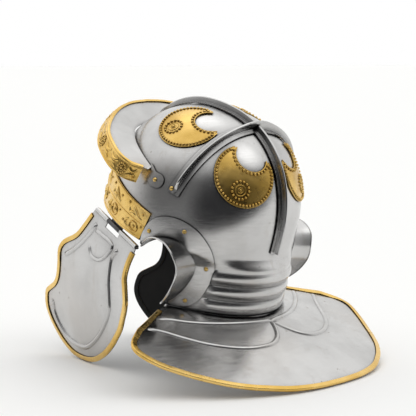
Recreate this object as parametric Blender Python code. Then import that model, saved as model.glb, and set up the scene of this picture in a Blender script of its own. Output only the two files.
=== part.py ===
"""Roman infantry helmet: bowl, neck guard, brow guard, cross bars, crescents and hinged cheek pieces.

Lengths are in millimetres in the helmet's own frame, and become metres when a mesh is made:
front is -Y, the wearer's left is +X, up is +Z, with the crown's widest plan at height 0.
The whole helmet hangs on one empty, which is pitched back until it rests on the neck guard's
rear rim and on the tips of both cheek pieces.
"""
import math

import bmesh
import bpy
from mathutils import Matrix, Vector

MM = 0.001

# Bowl
BOWL_HALF_WIDTH = 100.0
BOWL_HALF_LENGTH = 103.5
BOWL_HEIGHT = 109.4
BOWL_PLAN_POWER = 2.03
BOWL_DOME_POWER = 2.26
BOWL_WALL = 1.2
BOWL_COLUMNS = 44
BOWL_DOME_ROWS = 9

# Nape, with its three rolled ribs
NAPE_HALF_WIDTH = 89.4
NAPE_HALF_LENGTH = 113.5
NAPE_SHIFT = -1.7
NAPE_DEPTH = 83.0
NAPE_TILT = 0.067
NAPE_REAR_SINE = 0.6
RIB_SIDE_SINE = 0.72
RIB_FADE_SINE = 0.12
RIB_START_SHARE = 0.44
RIB_COUNT = 3
RIB_RELIEF = 2.6
RIB_ROWS = 4

# Brow edge and brow band: heights on the middle of the side and their slopes to the front
BROW_EDGE_HEIGHT = -22.0
BROW_EDGE_SLOPE = -0.101
BROW_TOP_HEIGHT = 11.6
BROW_TOP_SLOPE = -0.24
BROW_BAND_REAR = 15.0
BROW_BAND_REAR_LEAN = 0.2
BAND_THICKNESS = 1.0
BAND_COLUMNS = 36

# Gap between pieces that touch on the real helmet
SEAT_GAP = 0.3
PLATE_LIFT = 0.6

# Cross bars with a T section
BAR_HALF_WIDTH = 6.5
BAR_FLANGE = 1.2
BAR_FIN_HALF_WIDTH = 1.5
BAR_FIN_HEIGHT = 6.0
BAR_END_FIN = 0.6
BAR_CROSSING_SHARE = 0.399
LONG_BAR_FRONT_HEIGHT = 67.5
LONG_BAR_REAR_HEIGHT = -9.0
SIDE_BAR_END_HEIGHT = 35.5
SIDE_BAR_LEAN = math.radians(8.5)
SIDE_BAR_TAB = 10.0
BAR_BRIDGE = 3.6
BAR_BRIDGE_REACH = 24.0
BAR_STATIONS = 27

# Crescent plates
CRESCENT_RADIUS = 34.0
CRESCENT_CUT_RADIUS = 17.5
CRESCENT_CUT_OFFSET = 23.0
CRESCENT_THICKNESS = 1.0
ROSETTE_DROP = 17.0
CRESCENT_STATIONS = 15
REAR_ROSETTE = (0.49 * BOWL_HALF_WIDTH, 0.7633 * BOWL_HALF_LENGTH)
FRONT_ROSETTE = (0.63 * BOWL_HALF_WIDTH, -0.116 * BOWL_HALF_LENGTH)

# Brow guard, the peak over the face
PEAK_HALF_WIDTH = 115.0
PEAK_REACH = 112.0
PEAK_RIM_HEIGHT = 47.5
PEAK_RIM_SLOPE = -0.30
PEAK_SEAT_FRONT_HEIGHT = 65.0
PEAK_SEAT_DROP = 16.0
PEAK_THICKNESS = 1.2
PEAK_START_ANGLE = math.radians(-2.5)
PEAK_BAND_HEIGHT = 17.0
PEAK_BAND_FLARE = 2.5
PEAK_BAND_LIP = 3.0
PEAK_STATIONS = 14
PEAK_TAB_HALF_WIDTH = 7.0
PEAK_TAB_REACH = 17.0
PEAK_TAB_HEIGHT = 41.5
PEAK_TAB_FRONT = 6.0
PEAK_TAB_RISE = 5.0
PEAK_TAB_RISE_LENGTH = 12.0
PEAK_TAB_RIVET_INSET = 3.0
# Rim of the peak from its side end to the middle of the front, as shares
# columns: share of PEAK_HALF_WIDTH, share of PEAK_REACH
PEAK_RIM = [
    (0.840, 0.040),
    (0.905, 0.085),
    (0.980, 0.150),
    (1.000, 0.268),
    (0.957, 0.417),
    (0.882, 0.563),
    (0.763, 0.691),
    (0.591, 0.820),
    (0.416, 0.915),
    (0.218, 0.980),
    (0.000, 1.000),
]

# Ear opening and ear guard
EAR_Y = 40.0
EAR_HEIGHT = -45.0
EAR_SIZE = 70.0
EAR_PLATE_THICKNESS = 1.0
EAR_FLANGE_THICKNESS = 1.0
EAR_CUT_MARGIN = 0.6
EAR_CUT_FRONT_STEP = 4.0
EAR_CUT_REAR_STEP = 3.0
EAR_STATIONS = 19
EAR_RIVET_PLACES = (0.125, 0.37, 0.62, 0.87)
# Edge of the ear opening from the front tip over the ear to the nape, with the guard on it
# columns: y and height of the edge, width of the plate, projection and flare of the flange,
# each a share of EAR_SIZE
EAR_EDGE = [
    (-0.380, 0.240, 0.060, 0.030, 0.000),
    (-0.286, 0.343, 0.185, 0.115, 0.010),
    (-0.157, 0.443, 0.290, 0.200, 0.025),
    (-0.029, 0.500, 0.320, 0.275, 0.030),
    (0.086, 0.512, 0.315, 0.345, 0.035),
    (0.190, 0.480, 0.290, 0.405, 0.055),
    (0.286, 0.386, 0.260, 0.470, 0.090),
    (0.343, 0.243, 0.245, 0.520, 0.110),
    (0.357, 0.100, 0.235, 0.535, 0.110),
    (0.320, -0.071, 0.240, 0.490, 0.095),
    (0.257, -0.230, 0.240, 0.400, 0.070),
    (0.186, -0.350, 0.175, 0.290, 0.045),
    (0.114, -0.435, 0.060, 0.160, 0.020),
]

# Neck guard
GUARD_HALF_WIDTH = 174.5
GUARD_FRONT_Y = 47.0
GUARD_REAR_Y = 225.5
GUARD_FRONT_HEIGHT = -87.0
GUARD_DROP = 14.0
GUARD_THICKNESS = 1.2
GUARD_LEDGE = 1.6
GUARD_STATIONS = 33
GUARD_ROWS = 5
# Rim of the neck guard from its front corner to the middle of the rear, as shares
# columns: share of GUARD_HALF_WIDTH, share of the way from GUARD_FRONT_Y to GUARD_REAR_Y,
# share of GUARD_DROP below GUARD_FRONT_HEIGHT
GUARD_RIM = [
    (0.850, 0.150, 0.000),
    (0.960, 0.218, 0.340),
    (1.000, 0.300, 0.570),
    (0.957, 0.425, 0.850),
    (0.882, 0.542, 0.970),
    (0.805, 0.645, 1.000),
    (0.724, 0.736, 1.000),
    (0.633, 0.812, 0.980),
    (0.538, 0.873, 0.930),
    (0.395, 0.944, 0.870),
    (0.205, 0.988, 0.820),
    (0.000, 1.000, 0.800),
]

# Brass edging that is folded over the sheet
EDGING_WIDTH = 4.2
EDGING_THICKNESS = 0.8
EDGING_CLEARANCE = 0.6

# Cheek pieces: the hinge's two ends, and the plate that hangs from it
HINGE_REAR_OUTSET = 6.1
HINGE_FRONT_INSET = 12.3
HINGE_REAR = Vector((BOWL_HALF_WIDTH + HINGE_REAR_OUTSET, 12.0, -29.0))
HINGE_FRONT = Vector((BOWL_HALF_WIDTH - HINGE_FRONT_INSET, -67.5, -20.9))
CHEEK_SWING = math.radians(9.5)
CHEEK_PLUMB_PITCH = math.radians(13.5)
CHEEK_LENGTH = 161.0
CHEEK_BOW = 46.66
CHEEK_THICKNESS = 1.2
CHEEK_COLUMNS = 4
KNUCKLE_RADIUS = 2.7
PIN_RADIUS = 1.3
PIN_CLEARANCE = 0.3
KNUCKLE_GAP = 0.5
CENTRE_KNUCKLE_START = 33.0
CENTRE_KNUCKLE_END = 57.0
NOTCH_DEPTH = 8.0
HINGE_LEAF_HEIGHT = 20.0
HINGE_LEAF_THICKNESS = 1.0
HINGE_LEAF_OUTSET = 0.6
HINGE_LEAF_END_GAP = 1.0
HINGE_LEAF_OVERLAP = 0.5
BORE_OVERRUN = 4.0
PIN_REAR_END = 2.5
PIN_FRONT_END = 1.0
ROUND_SIDES = 10
# Outline of a cheek piece, row by row down from the hinge, as shares of CHEEK_LENGTH
# columns: way down, front edge, rear edge
CHEEK_ROWS = [
    (0.012, 0.526, 0.000),
    (0.045, 0.535, -0.003),
    (0.130, 0.559, -0.006),
    (0.210, 0.590, -0.025),
    (0.260, 0.627, -0.062),
    (0.330, 0.702, -0.112),
    (0.380, 0.733, -0.130),
    (0.430, 0.739, -0.137),
    (0.515, 0.708, -0.140),
    (0.590, 0.696, -0.118),
    (0.650, 0.714, -0.093),
    (0.700, 0.758, -0.065),
    (0.750, 0.801, -0.031),
    (0.800, 0.807, 0.012),
    (0.865, 0.789, 0.081),
    (0.920, 0.733, 0.168),
    (0.963, 0.646, 0.267),
    (0.990, 0.560, 0.360),
    (1.000, 0.485, 0.415),
]

# Rivets
RIVET_RADIUS = 2.2
RIVET_HEIGHT = 1.3
RIVET_SIDES = 8
SMALL_RIVET_RADIUS = 1.6
RIVET_BESIDE_FIN = 4.0

STEEL = (0.46, 0.46, 0.47, 1.0)
BRASS = (0.78, 0.56, 0.20, 1.0)
OLD_BRASS = (0.66, 0.46, 0.15, 1.0)
DARK_STEEL = (0.16, 0.16, 0.17, 1.0)
SHARP_ANGLE = math.radians(32.0)


def clear_scene():
    for old in list(bpy.data.objects):
        bpy.data.objects.remove(old, do_unlink=True)


def metal(name, colour, roughness):
    material = bpy.data.materials.new(name)
    material.use_nodes = True
    shader = material.node_tree.nodes["Principled BSDF"]
    shader.inputs["Base Color"].default_value = colour
    shader.inputs["Metallic"].default_value = 1.0
    shader.inputs["Roughness"].default_value = roughness
    return material


def smooth_step(value):
    held = min(max(value, 0.0), 1.0)
    return held * held * (3.0 - 2.0 * held)


def mix(start, end, share):
    return start + (end - start) * share


def solve(function, low, high, turns=50):
    """Value between low and high where a rising or falling function passes zero."""
    rising = function(high) > function(low)
    for _ in range(turns):
        middle = 0.5 * (low + high)
        if (function(middle) > 0.0) == rising:
            high = middle
        else:
            low = middle
    return 0.5 * (low + high)


def curve_through(rows, share):
    """Smooth curve through table rows, read at a share from 0 to 1 of the rows."""
    place = min(max(share, 0.0), 1.0) * (len(rows) - 1)
    index = min(int(place), len(rows) - 2)
    part = place - index
    before = rows[max(index - 1, 0)]
    start = rows[index]
    end = rows[index + 1]
    after = rows[min(index + 2, len(rows) - 1)]
    values = []
    for p0, p1, p2, p3 in zip(before, start, end, after):
        slope_start = 0.5 * (p2 - p0)
        slope_end = 0.5 * (p3 - p1)
        cube = 2.0 * p1 - 2.0 * p2 + slope_start + slope_end
        square = -3.0 * p1 + 3.0 * p2 - 2.0 * slope_start - slope_end
        values.append(p1 + part * (slope_start + part * (square + part * cube)))
    return values


def mirrored(point, side):
    return Vector((point[0] * side, point[1], point[2]))


# The bowl's outer skin

def plan_shares(angle):
    cosine = math.cos(angle)
    sine = math.sin(angle)
    reach = (abs(cosine) ** BOWL_PLAN_POWER + abs(sine) ** BOWL_PLAN_POWER) ** (1.0 / BOWL_PLAN_POWER)
    return cosine / reach, sine / reach


def rib_bulge(level):
    """Rounded rolls across the nape, from the first rib down to the lower edge."""
    first = -RIB_START_SHARE * NAPE_DEPTH
    if level >= first:
        return 0.0
    place = (first - level) / (NAPE_DEPTH + first) * RIB_COUNT
    return RIB_RELIEF * math.sin(math.pi * min(place - int(place), 1.0)) if place < RIB_COUNT else 0.0


def nape_blend(angle, level):
    rear = smooth_step(math.sin(angle) / NAPE_REAR_SINE)
    return rear * smooth_step(-level / (RIB_START_SHARE * NAPE_DEPTH))


def skin(angle, level):
    """Point on the bowl's outer skin: plan angle from the left side, level up from the widest plan."""
    across, along = plan_shares(angle)
    shrink = 1.0
    if level > 0.0:
        shrink = (1.0 - min(level / BOWL_HEIGHT, 1.0) ** BOWL_DOME_POWER) ** (1.0 / BOWL_DOME_POWER)
    blend = nape_blend(angle, level)
    bulge = rib_bulge(level) * smooth_step((math.sin(angle) - RIB_SIDE_SINE) / RIB_FADE_SINE)
    half_width = mix(BOWL_HALF_WIDTH, NAPE_HALF_WIDTH, blend) + bulge
    half_length = mix(BOWL_HALF_LENGTH, NAPE_HALF_LENGTH, blend) + bulge
    y = shrink * half_length * along + NAPE_SHIFT * blend
    return Vector((shrink * half_width * across, y, level + NAPE_TILT * y * blend))


def dome_normal(point):
    """Outward direction on the crown, from the gradient of its power surface."""
    across = abs(point.x) / BOWL_HALF_WIDTH
    along = abs(point.y) / BOWL_HALF_LENGTH
    reach = (across ** BOWL_PLAN_POWER + along ** BOWL_PLAN_POWER) ** (1.0 / BOWL_PLAN_POWER)
    scale = reach ** (BOWL_DOME_POWER - BOWL_PLAN_POWER)
    slope_x = math.copysign(across ** (BOWL_PLAN_POWER - 1.0) / BOWL_HALF_WIDTH, point.x) * scale
    slope_y = math.copysign(along ** (BOWL_PLAN_POWER - 1.0) / BOWL_HALF_LENGTH, point.y) * scale
    slope_z = (max(point.z, 0.0) / BOWL_HEIGHT) ** (BOWL_DOME_POWER - 1.0) / BOWL_HEIGHT
    return Vector((slope_x, slope_y, slope_z)).normalized()


def skin_normal(angle, level):
    if level >= 0.0:
        return dome_normal(skin(angle, level))
    small_angle = 0.01
    small_level = 0.5
    round_way = skin(angle + small_angle, level) - skin(angle - small_angle, level)
    up_way = skin(angle, level + small_level) - skin(angle, level - small_level)
    return round_way.cross(up_way).normalized()


def lifted(angle, level, lift):
    return skin(angle, level) + skin_normal(angle, level) * lift


def level_on_plane(angle, height, slope):
    """Level at which the skin meets the plane z = height + slope * y, at one plan angle."""
    return solve(lambda level: skin(angle, level).z - height - slope * skin(angle, level).y,
                 -NAPE_DEPTH, 0.98 * BOWL_HEIGHT)


def side_place(y, height):
    """Plan angle and level of the point on the left wall at a given y and height."""
    level = height
    angle = 0.0
    for _ in range(12):
        angle = solve(lambda turn: skin(turn, level).y - y, -0.5 * math.pi, 0.5 * math.pi, 30)
        level += height - skin(angle, level).z
    return angle, level


def crown_point(x, y):
    across = abs(x) / BOWL_HALF_WIDTH
    along = abs(y) / BOWL_HALF_LENGTH
    reach = (across ** BOWL_PLAN_POWER + along ** BOWL_PLAN_POWER) ** (1.0 / BOWL_PLAN_POWER)
    rise = (1.0 - min(reach, 1.0) ** BOWL_DOME_POWER) ** (1.0 / BOWL_DOME_POWER)
    return Vector((x, y, BOWL_HEIGHT * rise))


def onto_crown(point):
    """Move a point along its line from the bowl's centre until it is on the crown."""
    across = abs(point.x) / BOWL_HALF_WIDTH
    along = abs(point.y) / BOWL_HALF_LENGTH
    reach = (across ** BOWL_PLAN_POWER + along ** BOWL_PLAN_POWER) ** (1.0 / BOWL_PLAN_POWER)
    size = reach ** BOWL_DOME_POWER + (max(point.z, 0.0) / BOWL_HEIGHT) ** BOWL_DOME_POWER
    return point * size ** (-1.0 / BOWL_DOME_POWER)


# Meshes

def add_object(name, bm, material, parent):
    for vertex in bm.verts:
        vertex.co *= MM
    bmesh.ops.recalc_face_normals(bm, faces=bm.faces)
    mesh = bpy.data.meshes.new(name)
    bm.to_mesh(mesh)
    bm.free()
    mesh.materials.append(material)
    mesh.shade_smooth()
    mesh.set_sharp_from_angle(angle=SHARP_ANGLE)
    made = bpy.data.objects.new(name, mesh)
    bpy.context.collection.objects.link(made)
    made.parent = parent
    return made


def join_rows(bm, loops):
    rows = [[bm.verts.new(point) for point in loop] for loop in loops]
    count = len(rows[0])
    for low, high in zip(rows, rows[1:]):
        for index in range(count):
            after = (index + 1) % count
            bm.faces.new((low[index], low[after], high[after], high[index]))
    return rows


def sweep(bm, loops):
    """Closed solid through equal plate loops, whose caps are strips between the plate's two faces."""
    rows = join_rows(bm, loops)
    for row in (rows[0], rows[-1]):
        count = len(row)
        for index in range(count // 2 - 1):
            bm.faces.new((row[index], row[index + 1], row[count - 2 - index], row[count - 1 - index]))


def profile_sweep(bm, loops):
    """Closed solid through equal profiles such as a T, whose caps are one flat face each."""
    rows = join_rows(bm, loops)
    bm.faces.new(rows[0])
    bm.faces.new(rows[-1])


def plate_loop(top, bottom):
    return list(top) + list(reversed(bottom))


def round_bar(bm, start, end, radius, hole_radius=0.0):
    """Round bar, or a tube if it has a hole, between two points."""
    axis = (end - start).normalized()
    side = axis.orthogonal().normalized()
    other = axis.cross(side)

    def ring(centre, size):
        points = []
        for index in range(ROUND_SIDES):
            turn = 2.0 * math.pi * index / ROUND_SIDES
            points.append(bm.verts.new(centre + (side * math.cos(turn) + other * math.sin(turn)) * size))
        return points

    outer = [ring(start, radius), ring(end, radius)]
    inner = [ring(start, hole_radius), ring(end, hole_radius)] if hole_radius else None
    for index in range(ROUND_SIDES):
        after = (index + 1) % ROUND_SIDES
        bm.faces.new((outer[0][index], outer[0][after], outer[1][after], outer[1][index]))
        if inner:
            bm.faces.new((inner[0][index], inner[1][index], inner[1][after], inner[0][after]))
            bm.faces.new((outer[0][index], inner[0][index], inner[0][after], outer[0][after]))
            bm.faces.new((outer[1][index], outer[1][after], inner[1][after], inner[1][index]))
    if not inner:
        bm.faces.new(outer[0])
        bm.faces.new(outer[1])


def box(bm, low, high):
    corners = bmesh.ops.create_cube(bm, size=1.0)["verts"]
    for corner in corners:
        for axis in range(3):
            corner.co[axis] = mix(low[axis], high[axis], corner.co[axis] + 0.5)


def combine(target, tool_bm, operation, tool_name):
    """Boolean of the target with a helper mesh, applied at once; the helper is then removed."""
    material = target.data.materials[0]
    tool = add_object(tool_name, tool_bm, material, target.parent)
    tool.display_type = 'WIRE'
    tool.hide_render = True
    modifier = target.modifiers.new(tool_name, 'BOOLEAN')
    modifier.operation = operation
    modifier.solver = 'EXACT'
    modifier.object = tool
    bpy.context.view_layer.update()
    evaluated = target.evaluated_get(bpy.context.evaluated_depsgraph_get())
    result = bpy.data.meshes.new_from_object(evaluated)
    target.modifiers.remove(modifier)
    target.data = result
    bpy.data.objects.remove(tool, do_unlink=True)
    result.shade_smooth()
    result.set_sharp_from_angle(angle=SHARP_ANGLE)
    return target


# Pieces

def bowl_levels():
    """Levels of the bowl's rows, from its lower edge up to just under the crown."""
    first = -RIB_START_SHARE * NAPE_DEPTH
    levels = []
    rows = RIB_COUNT * RIB_ROWS
    for index in range(rows):
        levels.append(mix(-NAPE_DEPTH, first, index / rows))
    levels += [first, 0.55 * first, 0.2 * first]
    for index in range(BOWL_DOME_ROWS):
        levels.append(BOWL_HEIGHT * math.sin(0.5 * math.pi * (index + 0.4) / (BOWL_DOME_ROWS + 0.3)))
    return levels


def ear_edge(share):
    """Ear opening's edge at a share of its run: y, height, plate width, projection, flare."""
    y, height, width, projection, flare = curve_through(EAR_EDGE, share)
    return (EAR_Y + y * EAR_SIZE, EAR_HEIGHT + height * EAR_SIZE,
            width * EAR_SIZE, projection * EAR_SIZE, flare * EAR_SIZE)


def ear_edge_outward(share):
    """Direction away from the opening, in the plane of y and height."""
    step = 0.01
    before = ear_edge(share - step)
    after = ear_edge(share + step)
    run_y = after[0] - before[0]
    run_height = after[1] - before[1]
    length = math.hypot(run_y, run_height)
    return -run_height / length, run_y / length


def face_and_ear_cutter():
    """Prism through both sides: all below the brow edge, with the two ear openings."""
    lower = -2.0 * NAPE_DEPTH
    front = -1.5 * BOWL_HALF_LENGTH
    outline = []
    stations = 2 * EAR_STATIONS
    for index in range(stations + 1):
        share = index / stations
        y, height = ear_edge(share)[:2]
        out_y, out_height = ear_edge_outward(share)
        outline.append((y + out_y * EAR_CUT_MARGIN, height + out_height * EAR_CUT_MARGIN))
    first_y = outline[0][0]
    start = [(front, BROW_EDGE_HEIGHT + BROW_EDGE_SLOPE * front),
             (first_y - EAR_CUT_FRONT_STEP, BROW_EDGE_HEIGHT + BROW_EDGE_SLOPE * first_y)]
    last_y = outline[-1][0]
    last_y -= EAR_CUT_REAR_STEP
    end = [(last_y, 0.6 * lower), (last_y, lower), (front, lower)]
    outline = start + outline + end
    reach = 1.3 * BOWL_HALF_WIDTH
    bm = bmesh.new()
    left = [bm.verts.new((reach, y, z)) for y, z in outline]
    right = [bm.verts.new((-reach, y, z)) for y, z in outline]
    count = len(outline)
    for index in range(count):
        after = (index + 1) % count
        bm.faces.new((left[index], left[after], right[after], right[index]))
    bm.faces.new(left)
    bm.faces.new(right)
    return bm


def make_bowl(root, steel):
    bm = bmesh.new()
    levels = bowl_levels()

    def surface(lift):
        rows = []
        for level in levels:
            row = []
            for index in range(BOWL_COLUMNS):
                angle = 2.0 * math.pi * index / BOWL_COLUMNS
                row.append(bm.verts.new(lifted(angle, level, lift)))
            rows.append(row)
        pole = bm.verts.new((0.0, 0.0, BOWL_HEIGHT + lift))
        for low, high in zip(rows, rows[1:]):
            for index in range(BOWL_COLUMNS):
                after = (index + 1) % BOWL_COLUMNS
                bm.faces.new((low[index], low[after], high[after], high[index]))
        for index in range(BOWL_COLUMNS):
            bm.faces.new((rows[-1][index], rows[-1][(index + 1) % BOWL_COLUMNS], pole))
        return rows

    outer = surface(0.0)
    inner = surface(-BOWL_WALL)
    for index in range(BOWL_COLUMNS):
        after = (index + 1) % BOWL_COLUMNS
        bm.faces.new((outer[0][index], inner[0][index], inner[0][after], outer[0][after]))
    bowl = add_object("bowl", bm, steel, root)
    return combine(bowl, face_and_ear_cutter(), 'DIFFERENCE', "face_and_ear_cut")


def make_brow_band(root, brass):
    """Embossed strip round the front of the bowl, from ear to ear."""
    bm = bmesh.new()
    low_lift = PLATE_LIFT
    high_lift = PLATE_LIFT + BAND_THICKNESS
    rows = 3
    start_angle = side_place(BROW_BAND_REAR, 0.0)[0]
    loops = []
    for index in range(BAND_COLUMNS + 1):
        angle = mix(start_angle, -math.pi - start_angle, index / BAND_COLUMNS)
        low_angle = angle
        if index in (0, BAND_COLUMNS):
            lean = BROW_BAND_REAR_LEAN * (BROW_TOP_HEIGHT - BROW_EDGE_HEIGHT) / BOWL_HALF_LENGTH
            low_angle = angle - lean if index == 0 else angle + lean
        bottom = level_on_plane(low_angle, BROW_EDGE_HEIGHT, BROW_EDGE_SLOPE)
        top = level_on_plane(angle, BROW_TOP_HEIGHT, BROW_TOP_SLOPE)
        outside = []
        inside = []
        for row in range(rows + 1):
            share = row / rows
            level = mix(bottom, top, share)
            turn = mix(low_angle, angle, share)
            outside.append(lifted(turn, level, high_lift))
            inside.append(lifted(turn, level, low_lift))
        loops.append(plate_loop(outside, inside))
    sweep(bm, loops)
    return add_object("brow_band", bm, brass, root)


def peak_rim(share):
    """Rim of the peak from the left end (share 0) over the front to the right end (share 1)."""
    half = 1.0 - abs(2.0 * share - 1.0)
    across, reach = curve_through(PEAK_RIM, half)
    y = -reach * PEAK_REACH
    side = 1.0 if share <= 0.5 else -1.0
    return Vector((side * across * PEAK_HALF_WIDTH, y, PEAK_RIM_HEIGHT + PEAK_RIM_SLOPE * y))


def peak_seat_height(y):
    """Height of the peak's line on the bowl, which levels off towards the front."""
    return PEAK_SEAT_FRONT_HEIGHT - PEAK_SEAT_DROP * (1.0 + y / (0.84 * BOWL_HALF_LENGTH)) ** 2


def peak_seat(share):
    angle = mix(PEAK_START_ANGLE, -math.pi - PEAK_START_ANGLE, share)
    level = solve(lambda height: height - peak_seat_height(skin(angle, height).y), 0.0, 0.9 * BOWL_HEIGHT)
    return lifted(angle, level, 2.0 * SEAT_GAP + PEAK_THICKNESS * 0.5)


def peak_frame(share):
    """Outward and upward directions of the sheet at a station of the peak's rim."""
    step = 0.004
    along = (peak_rim(min(share + step, 1.0)) - peak_rim(max(share - step, 0.0))).normalized()
    outward = peak_rim(share) - peak_seat(share)
    outward = (outward - along * outward.dot(along)).normalized()
    up = along.cross(outward).normalized()
    return outward, up if up.z > 0.0 else up * -1.0


def peak_stations():
    count = 2 * PEAK_STATIONS
    return [index / count for index in range(count + 1)]


def make_brow_guard(root, steel):
    """Sloping peak that stands out over the brow, with a riveted tab at each end."""
    bm = bmesh.new()
    loops = []
    for share in peak_stations():
        seat = peak_seat(share)
        rim = peak_rim(share)
        half = peak_frame(share)[1] * (PEAK_THICKNESS * 0.5)
        top = [seat + half, rim + half]
        bottom = [seat - half, rim - half]
        loops.append(plate_loop(top, bottom))
    sweep(bm, loops)
    guard = add_object("brow_guard", bm, steel, root)
    for side in (1.0, -1.0):
        combine(guard, peak_tab(side), 'UNION', "peak_tab")
    return guard


def peak_tab_place():
    """Plan angle and level of the rivet in a tab."""
    return side_place(PEAK_TAB_REACH - PEAK_TAB_HALF_WIDTH - PEAK_TAB_RIVET_INSET, PEAK_TAB_HEIGHT)


def peak_tab(side):
    """Round-ended strap on the side of the bowl that carries one end of the peak."""
    bm = bmesh.new()
    loops = []
    rows = 7
    for index in range(rows + 1):
        y = mix(-PEAK_TAB_FRONT, PEAK_TAB_REACH, index / rows)
        before_end = PEAK_TAB_REACH - y
        half_width = PEAK_TAB_HALF_WIDTH
        if before_end < PEAK_TAB_HALF_WIDTH:
            part = before_end / PEAK_TAB_HALF_WIDTH
            half_width *= math.sqrt(max(1.0 - (1.0 - part) ** 2, 0.04))
        rise = 1.0 - smooth_step((y + PEAK_TAB_FRONT) / PEAK_TAB_RISE_LENGTH)
        outside = []
        inside = []
        for way in (-1.0, 0.0, 1.0):
            height = PEAK_TAB_HEIGHT + PEAK_TAB_RISE * rise + way * half_width
            angle, level = side_place(y, height)
            inside.append(mirrored(lifted(angle, level, SEAT_GAP), side))
            outside.append(mirrored(lifted(angle, level, SEAT_GAP + PEAK_THICKNESS), side))
        loops.append(plate_loop(outside, inside))
    sweep(bm, loops)
    return bm


def make_brow_guard_trim(root, brass):
    """Embossed band on the peak's rim: a lip over the rim and a face that flares downwards."""
    bm = bmesh.new()
    loops = []
    thick = BAND_THICKNESS
    clear = EDGING_CLEARANCE
    lip_low = PEAK_THICKNESS * 0.5 + clear
    hang = Vector((0.0, -PEAK_RIM_SLOPE, 1.0)).normalized()
    for share in peak_stations()[1:-1]:
        rim = peak_rim(share)
        outward, up = peak_frame(share)
        down = hang.lerp(up, 0.5)
        profile = [
            (-PEAK_BAND_LIP, lip_low + thick),
            (clear + thick, lip_low + thick),
            (clear + 0.5 * PEAK_BAND_FLARE + thick, -0.5 * PEAK_BAND_HEIGHT),
            (clear + PEAK_BAND_FLARE + thick, -PEAK_BAND_HEIGHT),
            (clear + PEAK_BAND_FLARE, -PEAK_BAND_HEIGHT),
            (clear + 0.5 * PEAK_BAND_FLARE, -0.5 * PEAK_BAND_HEIGHT),
            (clear, lip_low),
            (-PEAK_BAND_LIP, lip_low),
        ]
        loops.append([rim + outward * out + (down if rise < 0.0 else up) * rise for out, rise in profile])
    sweep(bm, loops)
    return add_object("brow_guard_trim", bm, brass, root)


def bar_loops(path, fin_heights, grow=0.0):
    """T profiles along a path of (point, normal, side direction)."""
    loops = []
    low = PLATE_LIFT - 3.0 * grow
    flange = PLATE_LIFT + BAR_FLANGE + grow
    for (point, normal, side), fin_height in zip(path, fin_heights):
        half_width = BAR_HALF_WIDTH + grow
        fin = BAR_FIN_HALF_WIDTH + grow
        top = flange + fin_height
        profile = [(-half_width, low), (half_width, low), (half_width, flange), (fin, flange),
                   (fin, top), (-fin, top), (-fin, flange), (-half_width, flange)]
        loops.append([point + side * across + normal * rise for across, rise in profile])
    return loops


def long_bar_point(turn):
    """Point over the crown in the middle plane, from the front over the top to the rear."""
    power = 2.0 / BOWL_DOME_POWER
    y = math.copysign(abs(math.sin(turn)) ** power, turn) * BOWL_HALF_LENGTH
    return Vector((0.0, y, BOWL_HEIGHT * max(math.cos(turn), 0.0) ** power))


def long_bar_path(start, end, stations):
    path = []
    for index in range(stations + 1):
        point = long_bar_point(mix(start, end, index / stations))
        path.append((point, dome_normal(point), Vector((1.0, 0.0, 0.0))))
    return path


def long_bar_ends():
    front = -solve(lambda turn: long_bar_point(turn).z - LONG_BAR_FRONT_HEIGHT, 0.0, 0.5 * math.pi)
    return front, 0.5 * math.pi


def make_long_bar(root, steel):
    bm = bmesh.new()
    front, rear = long_bar_ends()
    path = long_bar_path(front, rear, BAR_STATIONS)
    rear_angle = 0.5 * math.pi
    rear_level = level_on_plane(rear_angle, LONG_BAR_REAR_HEIGHT, 0.0)
    for level in (0.5 * rear_level, rear_level):
        path.append((skin(rear_angle, level), skin_normal(rear_angle, level), Vector((1.0, 0.0, 0.0))))
    fins = [BAR_END_FIN] + [BAR_FIN_HEIGHT] * (len(path) - 1)
    fins[1] = 0.6 * BAR_FIN_HEIGHT
    profile_sweep(bm, bar_loops(path, fins))
    return add_object("long_bar", bm, steel, root)


def crossing_point():
    return crown_point(0.0, BAR_CROSSING_SHARE * BOWL_HALF_LENGTH)


def side_bar_point(turn):
    """Point on the crown in the leaning plane of the side bar, by the angle up from the left."""
    crossing = crossing_point()
    foot = Vector((0.0, crossing.y - math.tan(SIDE_BAR_LEAN) * crossing.z, 0.0))
    way = Vector((math.cos(turn), math.sin(SIDE_BAR_LEAN) * math.sin(turn),
                  math.cos(SIDE_BAR_LEAN) * math.sin(turn)))

    def outside(reach):
        point = foot + way * reach
        return (onto_crown(point) - point).dot(point)

    return foot + way * solve(outside, 0.2 * BOWL_HALF_WIDTH, 2.0 * BOWL_HALF_WIDTH)


def side_bar_ends():
    low = solve(lambda turn: side_bar_point(turn).z - SIDE_BAR_END_HEIGHT, 0.05, 1.2)
    return low, math.pi - low


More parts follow.
